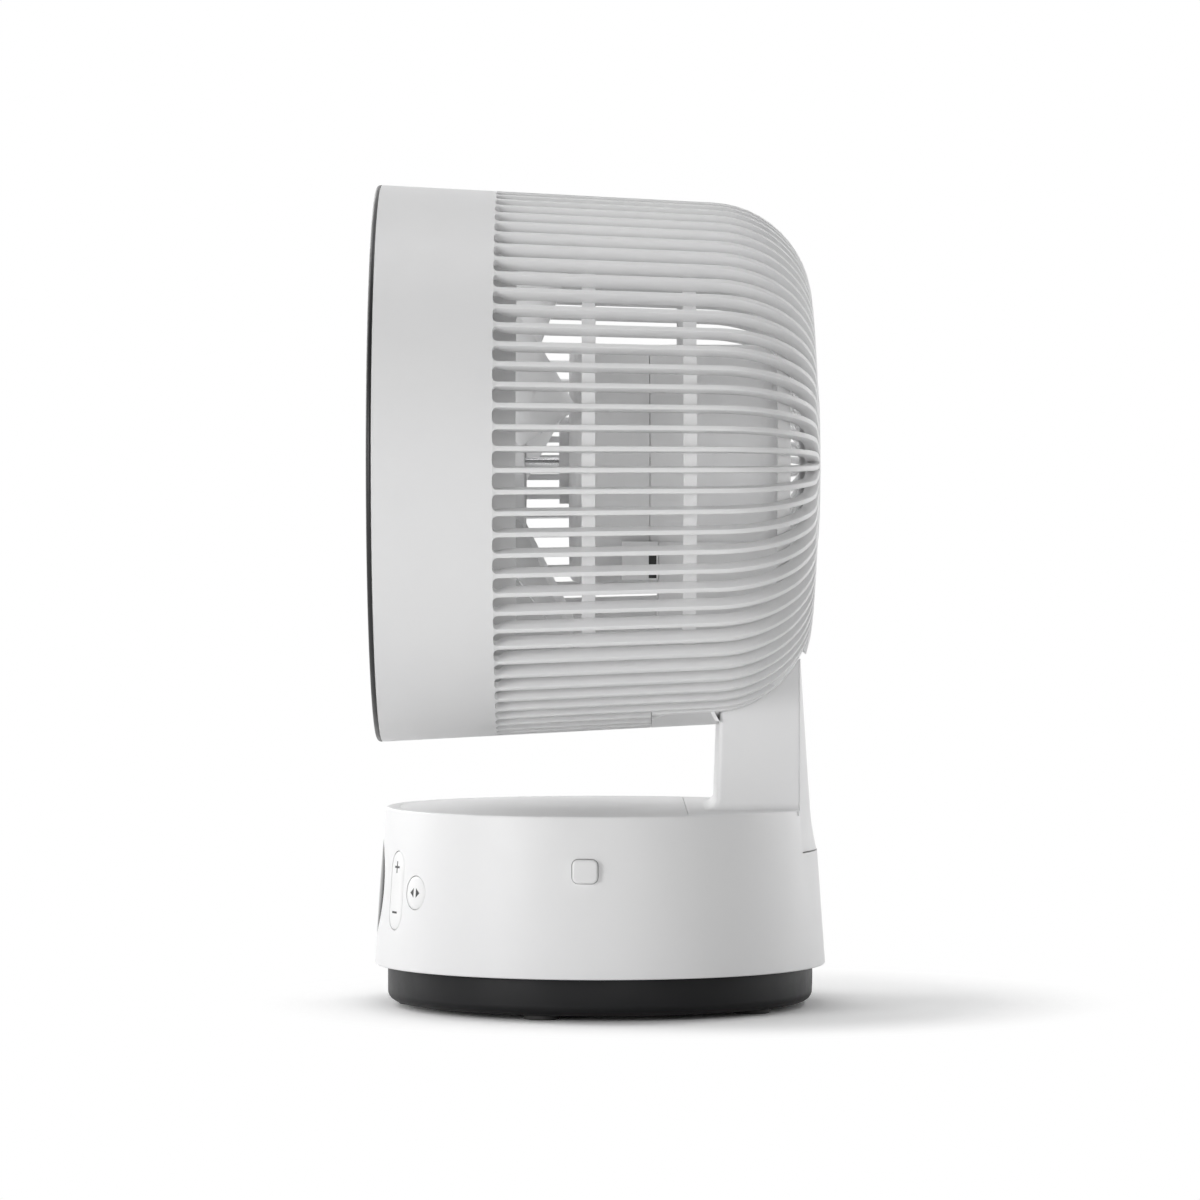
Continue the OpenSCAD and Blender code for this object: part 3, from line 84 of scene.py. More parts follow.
@dataclass
class Shape:
    """Points and faces of a piece while it is being made."""

    points: list[Point] = field(default_factory=list)
    faces: list[tuple[int, ...]] = field(default_factory=list)

    def add(self, points: Sequence[Point]) -> int:
        """Adds points.

        Args:
            points: the points.

        Returns:
            The number of the first one.
        """
        first = len(self.points)
        self.points.extend(points)
        return first

    def grid(self, rows: Sequence[Sequence[Point]], round_rows: bool = False, round_columns: bool = False) -> "Shape":
        """Joins rows of equally many points by faces of four corners.

        Args:
            rows: the rows, each a list of points.
            round_rows: whether each row's last point joins its first.
            round_columns: whether the last row joins the first.

        Returns:
            The shape itself.
        """
        width = len(rows[0])
        first = self.add([p for row in rows for p in row])
        for i in range(len(rows) if round_columns else len(rows) - 1):
            below, above = first + i * width, first + (i + 1) % len(rows) * width
            for j in range(width if round_rows else width - 1):
                k = (j + 1) % width
                self.faces.append((below + j, below + k, above + k, above + j))
        return self

    def tube(self, rings: Sequence[Sequence[Point]]) -> "Shape":
        """Joins rings one after the other and closes both ends with one face each.

        Args:
            rings: the rings, each a list of equally many points.

        Returns:
            The shape itself.
        """
        start, width = len(self.points), len(rings[0])
        self.grid(rings, round_rows=True)
        end = len(self.points) - width
        self.faces.append(tuple(range(start, start + width)))
        self.faces.append(tuple(range(end + width - 1, end - 1, -1)))
        return self

    def plate(self, outline: Sequence[Point], shift: Point) -> "Shape":
        """Adds a closed plate between an outline and the same outline shifted, and returns the shape itself."""
        return self.tube([outline, [tuple(Vector(p) + Vector(shift)) for p in outline]])

    def turned(self, profile: Sequence[Flat], axis: Axis, steps: int, height: float = 0.0) -> "Shape":
        """Turns a closed profile round the swing axis or the fan's axis.

        Args:
            profile: closed outline of (radius, place along the axis).
            axis: UP for world Z, BLOW for the fan's axis along world Y.
            steps: flats round the piece.
            height: height of the fan's axis above the floor.

        Returns:
            The shape itself.
        """
        rows = []
        for i in range(steps):
            angle = 2 * math.pi * i / steps
            c, s = math.cos(angle), math.sin(angle)
            if axis is Axis.UP:
                rows.append([(r * c, r * s, along) for r, along in profile])
            else:
                rows.append([(r * c, along, height + r * s) for r, along in profile])
        return self.grid(rows, round_rows=True, round_columns=True)


def mesh_from(shape: Shape, name: str, smooth: float = SMOOTH, outward: bool = True) -> Mesh:
    """Makes a clean mesh, with its faces outwards and its soft edges shaded smooth.

    Args:
        shape: the points and faces.
        name: name of the mesh.
        smooth: edges flatter than this many degrees are shaded smooth.
        outward: whether the faces are turned outwards again.

    Returns:
        The mesh.
    """
    mesh = bpy.data.meshes.new(name)
    mesh.from_pydata(shape.points, [], shape.faces)
    tidy_mesh(mesh, smooth, outward)
    return mesh


def tidy_mesh(mesh: Mesh, smooth: float, outward: bool = True) -> None:
    """Merges double points, drops empty faces and loose edges, and sets the shading of a mesh.

    Args:
        mesh: the mesh.
        smooth: edges flatter than this many degrees are shaded smooth.
        outward: whether the faces are turned outwards again.
    """
    work = bmesh.new()
    work.from_mesh(mesh)
    bmesh.ops.remove_doubles(work, verts=work.verts, dist=DOUBLE)
    bmesh.ops.dissolve_degenerate(work, dist=FLAT_FACE, edges=work.edges)
    loose = [edge for edge in work.edges if not edge.link_faces]
    bmesh.ops.delete(work, geom=loose, context="EDGES")
    if outward:
        bmesh.ops.recalc_face_normals(work, faces=work.faces)
    work.to_mesh(mesh)
    work.free()
    mesh.shade_smooth()
    mesh.set_sharp_from_angle(angle=math.radians(smooth))
    mesh.update()


def rounded(corners: Sequence[Corner], steps: int) -> list[Flat]:
    """A closed outline with each corner rounded by its own radius.

    Args:
        corners: (x, y, radius) of each corner, in order.
        steps: points along each rounded corner, less one.

    Returns:
        The outline's points.
    """
    outline: list[Flat] = []
    count = len(corners)
    for i, (x, y, radius) in enumerate(corners):
        here = Vector((x, y))
        before = (Vector(corners[i - 1][:2]) - here).normalized()
        after = (Vector(corners[(i + 1) % count][:2]) - here).normalized()
        half = before.angle(after) / 2
        if radius <= 0 or half > STRAIGHT:
            outline.append((x, y))
            continue
        centre = here + (before + after).normalized() * (radius / math.sin(half))
        start = here + before * (radius / math.tan(half)) - centre
        end = here + after * (radius / math.tan(half)) - centre
        sweep = start.angle(end)
        for k in range(steps + 1):
            share = k / steps
            turned = (start * math.sin((1 - share) * sweep) + end * math.sin(share * sweep)) / math.sin(sweep)
            outline.append(tuple(centre + turned))
    return outline


def turned_mesh(name: str, corners: Sequence[Corner], arc: int, axis: Axis, steps: int, height: float = 0.0) -> Mesh:
    """A mesh turned from a profile with rounded corners.

    Args:
        name: name of the mesh.
        corners: (radius, place along the axis, rounding) of each corner.
        arc: points along each rounded corner, less one.
        axis: the line that the profile is turned round.
        steps: flats round the piece.
        height: height of the fan's axis above the floor.

    Returns:
        The mesh.
    """
    return mesh_from(Shape().turned(rounded(corners, arc), axis, steps, height), name)


def pill(half_w: float, half_h: float, corner: float, inset: float = 0.0, steps: int = 10) -> list[Flat]:
    """Outline of a rectangle with round corners, drawn in by an inset.

    Args:
        half_w: half its width.
        half_h: half its height.
        corner: radius of its corners.
        inset: how far the outline is drawn in.
        steps: points along each corner, less one.

    Returns:
        The outline's points.
    """
    radius = max(corner - inset, SHARP)
    x, y = max(half_w - inset - radius, 0.0), max(half_h - inset - radius, 0.0)
    outline = []
    for quarter, (sx, sy) in enumerate([(1, 1), (-1, 1), (-1, -1), (1, -1)]):
        for k in range(steps + 1):
            angle = math.pi / 2 * (quarter + k / steps)
            outline.append((sx * x + radius * math.cos(angle), sy * y + radius * math.sin(angle)))
    return outline


# Nodes


def feed(tree: Tree, node: Node, inputs: Mapping[int | str, Feed]) -> None:
    """Links a node's inputs to the sockets given for them, or sets them to the values given.

    Args:
        tree: the tree that holds the node.
        node: the node.
        inputs: a socket or a value for each input, by its name or number.
    """
    for key, source in inputs.items():
        if isinstance(source, Socket):
            tree.links.new(source, node.inputs[key])
        else:
            node.inputs[key].default_value = source


def put(tree: Tree, kind: str, inputs: Mapping[int | str, Feed] | None = None, **settings: object) -> Node:
    """Adds a node to a tree.

    Args:
        tree: the tree.
        kind: the node's type.
        inputs: a socket or a value for each input that is used.
        settings: the node's own settings, which come before its inputs.

    Returns:
        The node.
    """
    node = tree.nodes.new(kind)
    for name, value in settings.items():
        setattr(node, name, value)
    feed(tree, node, inputs or {})
    return node


def new_group(
    name: str, kind: str, inputs: Sequence[tuple[str, str, Feed | None]], outputs: Sequence[tuple[str, str]]
) -> tuple[Tree, Node, Node]:
    """A node group with named sockets.

    Args:
        name: name of the group.
        kind: type of its tree.
        inputs: (name, kind of socket, value) of each input.
        outputs: (name, kind of socket) of each output.

    Returns:
        The group, its input node and its output node.
    """
    tree = bpy.data.node_groups.new(name, kind)
    for label, socket, value in inputs:
        entry = tree.interface.new_socket(label, in_out="INPUT", socket_type="NodeSocket" + socket)
        if value is not None:
            entry.default_value = value
    for label, socket in outputs:
        tree.interface.new_socket(label, in_out="OUTPUT", socket_type="NodeSocket" + socket)
    return tree, tree.nodes.new("NodeGroupInput"), tree.nodes.new("NodeGroupOutput")


def spread(
    tree: Tree, value: Socket, source: Flat = (0.0, 1.0), target: Sequence[Feed] = (0.0, 1.0), curve: str = "LINEAR"
) -> Socket:
    """Maps one range of a value onto another.

    Args:
        tree: the tree.
        value: the value.
        source: the range that it has.
        target: the range that it gets, as numbers or sockets.
        curve: how the node runs from one end of the range to the other.

    Returns:
        The mapped value.
    """
    ends = {"From Min": source[0], "From Max": source[1], "To Min": target[0], "To Max": target[1]}
    return put(tree, "ShaderNodeMapRange", {"Value": value, **ends}, interpolation_type=curve).outputs["Result"]


def combine(tree: Tree, operation: str, first: Socket, second: Socket) -> Socket:
    """The result of a maths node on two values."""
    return put(tree, "ShaderNodeMath", {0: first, 1: second}, operation=operation).outputs[0]


# Finishes


def noise(tree: Tree, place: Socket, scale: Feed, detail: float, rough: float) -> Socket:
    """The grey value of a noise texture, from its place, scale, detail and roughness."""
    inputs = {"Vector": place, "Scale": scale, "Detail": detail, "Roughness": rough}
    return put(tree, "ShaderNodeTexNoise", inputs).outputs["Fac"]


def surface_group(name: str, extras: Sequence[tuple[str, str, Feed]]) -> tuple[Tree, Node, Node]:
    """A group for a surface, with two colours and two roughnesses to run between.

    Args:
        name: name of the group.
        extras: (name, kind of socket, value) of the inputs that only this group has.

    Returns:
        The group, its input node and its output node.
    """
    inputs = [
        ("Color", "Color", (0.8, 0.8, 0.8, 1.0)),
        ("Shade", "Color", (0.7, 0.7, 0.7, 1.0)),
        ("Low Roughness", "Float", 0.4),
        ("High Roughness", "Float", 0.5),
        *extras,
    ]
    outputs = [("Color", "Color"), ("Roughness", "Float"), ("Height", "Float")]
    return new_group(name, "ShaderNodeTree", inputs, outputs)


def lead_out(tree: Tree, given: Node, made: Node, tone: Socket, gloss: Socket, height: Socket) -> None:
    """Leads the results out of a surface group.

    Args:
        tree: the group.
        given: its input node.
        made: its output node.
        tone: noise that runs between the two colours.
        gloss: noise that runs between the two roughnesses.
        height: the relief.
    """
    middle = (0.3, 0.7)  # where nearly all of a noise lies
    source = given.outputs
    colours = {0: spread(tree, tone, middle), 6: source["Color"], 7: source["Shade"]}
    results = {
        "Color": put(tree, "ShaderNodeMix", colours, data_type="RGBA").outputs[2],
        "Roughness": spread(tree, gloss, middle, (source["Low Roughness"], source["High Roughness"])),
        "Height": height,
    }
    feed(tree, made, results)


def moulded_surface() -> None:
    """Builds the group for moulded surfaces: fine spark-eroded grain, faint flow clouds and handling marks."""
    extras = [("Grain Scale", "Float", 2500.0), ("Cloud Scale", "Float", 14.0)]
    tree, given, made = surface_group(Texture.MOULDED.value, extras)
    place = put(tree, "ShaderNodeTexCoord").outputs["Object"]
    clouds = noise(tree, place, given.outputs["Cloud Scale"], detail=4.0, rough=0.55)
    grain = noise(tree, place, given.outputs["Grain Scale"], detail=1.0, rough=0.4)
    marks = noise(tree, place, 95.0, detail=5.0, rough=0.65)
    lead_out(tree, given, made, clouds, marks, grain)


def drawn_surface() -> None:
    """Builds the group for metal: fine lines along one direction, given by how much each axis is stretched."""
    tree, given, made = surface_group(Texture.DRAWN.value, [("Stretch", "Vector", (1.0, 1.0, 1.0))])
    place = put(tree, "ShaderNodeTexCoord").outputs["Object"]
    scaled = put(tree, "ShaderNodeVectorMath", {0: place, 1: given.outputs["Stretch"]}, operation="MULTIPLY")
    lines = noise(tree, scaled.outputs[0], 1.0, detail=3.0, rough=0.6)
    stains = noise(tree, place, 60.0, detail=4.0, rough=0.6)
    lead_out(tree, given, made, stains, lines, lines)


class Texture(Enum):
    """The shared surface groups."""

    MOULDED = "moulded_surface"
    DRAWN = "drawn_surface"


@dataclass(frozen=True)
class Finish:
    """One finish of the fan: its colours, its range of roughness and its surface."""

    name: str
    slot: str
    colour: Colour
    shade: Colour
    rough: Flat
    texture: Texture = Texture.MOULDED
    grain: float = 2500.0
    clouds: float = 14.0
    stretch: Point = (3000.0, 3000.0, 3000.0)
    depth: float = 0.00002
    strength: float = 0.25
    metallic: float = 0.0
    specular: float = 0.5

    def material(self) -> bpy.types.Material:
        """The finish's material, made once and used again.

        Returns:
            The material.
        """
        found = bpy.data.materials.get(self.name)
        if found:
            return found
        material = bpy.data.materials.new(self.name)
        material.use_nodes = True
        material.diffuse_color = (*self.colour, 1.0)
        tree = material.node_tree
        inputs = {
            "Color": (*self.colour, 1.0),
            "Shade": (*self.shade, 1.0),
            "Low Roughness": self.rough[0],
            "High Roughness": self.rough[1],
        }
        if self.texture is Texture.MOULDED:
            inputs |= {"Grain Scale": self.grain, "Cloud Scale": self.clouds}
        else:
            inputs["Stretch"] = self.stretch
        group = bpy.data.node_groups[self.texture.value]
        surface = put(tree, "ShaderNodeGroup", inputs, node_tree=group).outputs
        relief = {"Strength": self.strength, "Distance": self.depth, "Height": surface["Height"]}
        shader = {
            "Base Color": surface["Color"],
            "Roughness": surface["Roughness"],
            "Normal": put(tree, "ShaderNodeBump", relief).outputs["Normal"],
            "Metallic": self.metallic,
            "Specular IOR Level": self.specular,
        }
        feed(tree, tree.nodes["Principled BSDF"], shader)
        return material


WHITE_CASING = Finish("moulded_white", "white_casing", (0.86, 0.86, 0.86), (0.84, 0.84, 0.845), (0.38, 0.5))
WHITE_HEAD = Finish("moulded_head_white", "white_head", (0.87, 0.87, 0.87), (0.855, 0.855, 0.86), (0.42, 0.55))
WHITE_KEYS = Finish("white_keys", "white_casing", (0.87, 0.87, 0.87), (0.85, 0.85, 0.85), (0.3, 0.4), grain=4000.0)
BLACK_FOOT = Finish(
    "moulded_black", "black_foot", (0.011, 0.011, 0.012), (0.015, 0.015, 0.016), (0.4, 0.5),
    depth=0.00003, specular=0.2,
)
DARK_TRIM = Finish(
    "satin_black", "dark_trim", (0.014, 0.014, 0.015), (0.02, 0.02, 0.021), (0.3, 0.42), specular=0.35
)
DISPLAY = Finish(
    "polished_window", "display_gloss", (0.004, 0.004, 0.005), (0.006, 0.006, 0.007), (0.04, 0.09),
    strength=0.02, specular=0.12,
)
# Painted light: the grey plastic's colour is raised almost to white so that the shaded parts inside the head render
# brighter.
GREY_CASING_PAINTED_LIGHT = Finish("moulded_grey_painted_light", "grey_casing", (0.95, 0.95, 0.95), (0.93, 0.93, 0.935), (0.45, 0.58))
DARK_PLASTIC = Finish("moulded_dark", "dark_plastic", (0.04, 0.04, 0.043), (0.055, 0.055, 0.058), (0.4, 0.55))
ACETAL = Finish("natural_acetal", "bearing_plastic", (0.74, 0.73, 0.69), (0.70, 0.69, 0.64), (0.25, 0.38))
RUBBER = Finish(
    "soft_rubber", "rubber", (0.03, 0.03, 0.03), (0.045, 0.044, 0.043), (0.65, 0.85),
    grain=1200.0, depth=0.00006, strength=0.5,
)
STEEL = Finish(
    "plated_steel", "bright_steel", (0.62, 0.62, 0.63), (0.54, 0.54, 0.55), (0.22, 0.4), Texture.DRAWN,
    stretch=(4000.0, 250.0, 4000.0), metallic=1.0, strength=0.12,
)
SHAFT_STEEL = Finish(
    "ground_steel", "bright_steel", (0.66, 0.66, 0.67), (0.6, 0.6, 0.61), (0.15, 0.28), Texture.DRAWN,
    stretch=(300.0, 6000.0, 300.0), metallic=1.0, strength=0.08,
)
IRON = Finish(
    "phosphated_iron", "ballast_iron", (0.10, 0.10, 0.105), (0.06, 0.06, 0.065), (0.5, 0.7), Texture.DRAWN,
    stretch=(900.0, 900.0, 900.0), metallic=0.7, depth=0.00008, strength=0.5,
)
ALUMINIUM = Finish(
    "die_cast_aluminium", "cast_aluminium", (0.55, 0.55, 0.56), (0.47, 0.47, 0.48), (0.4, 0.6), Texture.DRAWN,
    stretch=(1500.0, 1500.0, 1500.0), metallic=1.0, depth=0.00006, strength=0.4,
)
BOARD = Finish(
    "solder_mask", "board_green", (0.015, 0.13, 0.06), (0.03, 0.19, 0.09), (0.22, 0.36),
    grain=700.0, clouds=180.0, depth=0.00004,
)
WINDING = Finish(
    "enamelled_copper", "copper_winding", (0.45, 0.16, 0.06), (0.32, 0.10, 0.035), (0.25, 0.4), Texture.DRAWN,
    stretch=(5000.0, 200.0, 5000.0), metallic=0.8, depth=0.00012, strength=0.8,
)
PRINT = Finish("key_print", "dark_plastic", (0.012, 0.012, 0.013), (0.02, 0.02, 0.021), (0.4, 0.5))


# Pieces


def placed(name: str, data: bpy.types.ID) -> bpy.types.Object:
    """A new object in the scene.

    Args:
        name: name of the object.
        data: its mesh, lamp or camera.

    Returns:
        The object.
    """
    thing = bpy.data.objects.new(name, data)
    bpy.context.scene.collection.objects.link(thing)
    return thing


def discard(thing: bpy.types.Object) -> None:
    """Removes an object and its mesh.

    Args:
        thing: the object.
    """
    data = thing.data
    bpy.data.objects.remove(thing)
    bpy.data.meshes.remove(data)


def new_piece(mesh: Mesh, finish: Finish, body: str, replaced: Sequence[str] = ()) -> None:
    """Puts a finished mesh in the scene, on its body, with its finish and in place of its CAD nodes.

    Args:
        mesh: the mesh, with its place in its points; the piece takes its name.
        finish: the finish.
        body: the CAD body that carries the piece.
        replaced: CAD nodes that the piece stands for.
    """
    piece = placed(mesh.name, mesh)
    mesh.materials.clear()
    mesh.materials.append(finish.material())
    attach(piece, body)
    if replaced:
        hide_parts(*replaced)
    LOG.info("%s: %d faces on %s", piece.name, len(mesh.polygons), body)


def applied(
    mesh: Mesh, kind: str, settings: Mapping[str, object], inputs: Mapping[str, object] | None = None
) -> Mesh:
    """The mesh after one modifier.

    Args:
        mesh: the mesh to start from; it is removed.
        kind: the modifier's type.
        settings: the modifier's settings.
        inputs: values for its node tree's inputs, by their identifiers.

    Returns:
        A plain mesh under the old name.
    """
    holder = placed("holder", mesh)
    change = holder.modifiers.new("change", kind)
    for name, value in settings.items():
        setattr(change, name, value)
    for name, value in (inputs or {}).items():
        change[name] = value
    bpy.context.view_layer.update()
    graph = bpy.context.evaluated_depsgraph_get()
    result = bpy.data.meshes.new_from_object(holder.evaluated_get(graph))
    name = mesh.name
    holder.modifiers.clear()
    discard(holder)
    result.name = name
    return result


def cut(mesh: Mesh, cutter: Shape, smooth: float) -> Mesh:
    """The mesh with a closed shape taken out of it.

    Args:
        mesh: the mesh to start from; it is removed.
        cutter: the shape.
        smooth: edges flatter than this many degrees are shaded smooth.

    Returns:
        The new mesh.
    """
    tool = placed("cutter", mesh_from(cutter, "cutter"))
    settings = {"operation": "DIFFERENCE", "solver": "EXACT", "use_self": False, "object": tool}
    result = applied(mesh, "BOOLEAN", settings)
    discard(tool)
    tidy_mesh(result, smooth, outward=False)
    return result


def bevelled(mesh: Mesh, width: float, angle: float = 40.0) -> Mesh:
    """The mesh with its sharp edges rounded off.

    Args:
        mesh: the mesh to start from; it is removed.
        width: width of the rounding.
        angle: edges sharper than this many degrees are rounded.

    Returns:
        The new mesh.
    """
    settings = {
        "width": width,
        "segments": BEVEL_STEPS,
        "limit_method": "ANGLE",
        "angle_limit": math.radians(angle),
        "use_clamp_overlap": True,
    }
    result = applied(mesh, "BEVEL", settings)
    tidy_mesh(result, SMOOTH_ROUND, outward=False)
    return result


def ring_tree() -> None:
    """Builds the nodes that repeat one element round an axis through the origin and weld it to its neighbours."""
    sizes = [
        ("Geometry", "Geometry", None),
        ("Count", "Int", 4),
        ("Step", "Float", math.pi / 2),
        ("Start", "Float", 0.0),
        ("Axis", "Vector", (0.0, 0.0, 1.0)),
        ("Weld", "Float", WELD),
        ("Material", "Material", None),
    ]
    tree, given, made = new_group("ring_of_elements", "GeometryNodeTree", sizes, [("Geometry", "Geometry")])
    source = given.outputs
    places = put(tree, "GeometryNodeMeshLine", {"Offset": (0.0, 0.0, 0.0), "Count": source["Count"]})
    number = put(tree, "GeometryNodeInputIndex").outputs[0]
    angle = put(
        tree, "ShaderNodeMath", {0: number, 1: source["Step"], 2: source["Start"]}, operation="MULTIPLY_ADD"
    )
    turn = put(tree, "ShaderNodeVectorMath", {0: source["Axis"], "Scale": angle.outputs[0]}, operation="SCALE")
    copies = put(
        tree,
        "GeometryNodeInstanceOnPoints",
        {"Points": places.outputs["Mesh"], "Instance": source["Geometry"], "Rotation": turn.outputs[0]},
    )
    real = put(tree, "GeometryNodeRealizeInstances", {0: copies.outputs[0]})
    weld = put(tree, "GeometryNodeMergeByDistance", {"Geometry": real.outputs[0], "Distance": source["Weld"]})
    paint = put(tree, "GeometryNodeSetMaterial", {"Geometry": weld.outputs[0], "Material": source["Material"]})
    feed(tree, made, {0: paint.outputs[0]})


@dataclass(frozen=True)
class Ring:
    """How an element repeats round an axis."""

    count: int
    axis: Axis
    start: float = 0.0

    def of(self, element: Mesh, finish: Finish, smooth: float = SMOOTH) -> Mesh:
        """The ring of elements as one plain mesh, still round an axis through the origin.

        Args:
            element: one element's mesh; it is removed.
            finish: the finish that the nodes set.
            smooth: edges flatter than this many degrees are shaded smooth.

        Returns:
            The mesh of the whole ring.
        """
        tree = bpy.data.node_groups["ring_of_elements"]
        sizes = {
            "Count": self.count,
            "Step": 2 * math.pi / self.count,
            "Start": self.start,
            "Axis": (0.0, 0.0, 1.0) if self.axis is Axis.UP else (0.0, 1.0, 0.0),
            "Weld": WELD,
            "Material": finish.material(),
        }
        inputs = {
            item.identifier: sizes[item.name]
            for item in tree.interface.items_tree
            if item.in_out == "INPUT" and item.name in sizes
        }
        result = applied(element, "NODES", {"node_group": tree}, inputs)
        tidy_mesh(result, smooth)
        return result


def joined(name: str, meshes: Sequence[Mesh]) -> Mesh:
    """Several meshes as one, with each one's sharp edges kept.

    Args:
        name: name of the new mesh.
        meshes: the meshes; they are removed.

    Returns:
        The new mesh.
    """
    work = bmesh.new()
    for mesh in meshes:
        work.from_mesh(mesh)
        bpy.data.meshes.remove(mesh)
    result = bpy.data.meshes.new(name)
    work.to_mesh(result)
    work.free()
    return result


def centre_of(node: str) -> Vector:
    """Middle of a CAD node's box."""
    low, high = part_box(node)
    return (low + high) / 2


def lifted(mesh: Mesh, height: float) -> Mesh:
    """The mesh moved up from the origin to the fan's axis."""
    mesh.transform(Matrix.Translation((0, 0, height)))
    return mesh


# Head


@dataclass
class HeadForm:
    """Turned outline that drum and ribs share: a slight cone, a shoulder arc and a flat dome."""

    front: float
    rear: float
    axis_z: float
    radius: float
    taper: float = math.radians(3.0)
    shoulder: float = 0.0465
    dome: float = 0.830

    def __post_init__(self) -> None:
        """Finds where the cone, the arc and the dome meet."""
        slope = math.tan(self.taper)
        reach = self.radius + self.front * slope - self.shoulder / math.cos(self.taper)
        self.dome_y = self.rear - self.dome
        b = self.dome_y + reach * slope
        k = 1 + slope * slope
        c = self.dome_y**2 + reach**2 - (self.dome - self.shoulder) ** 2
        self.shoulder_y = (b + math.sqrt(b * b - k * c)) / k
        self.shoulder_r = reach - self.shoulder_y * slope
        self.lean = math.atan2(self.shoulder_r, self.shoulder_y - self.dome_y)
        self.cone_end = self.shoulder_y + self.shoulder * math.sin(self.taper)

    def cone_r(self, y: float) -> float:
        """Radius of the cone at a place along the axis."""
        return self.radius - (y - self.front) * math.tan(self.taper)

    def on_cone(self, y: float) -> Station:
        """Place, radius and inward direction of the outline on the cone."""
        return y, self.cone_r(y), -math.sin(self.taper), -math.cos(self.taper)

    def on_shoulder(self, share: float) -> Station:
        """Place, radius and inward direction of the outline on the shoulder arc.

        Args:
            share: from 0 at the cone to 1 at the dome.

        Returns:
            The four numbers.
        """
        angle = self.taper + share * (math.pi / 2 - self.lean - self.taper)
        s, c = math.sin(angle), math.cos(angle)
        return self.shoulder_y + self.shoulder * s, self.shoulder_r + self.shoulder * c, -s, -c

    def on_dome(self, r: float) -> Station:
        """Place, radius and inward direction of the outline on the dome, at a distance from the axis."""
        angle = math.asin(r / self.dome)
        return self.dome_y + self.dome * math.cos(angle), r, -math.cos(angle), -math.sin(angle)


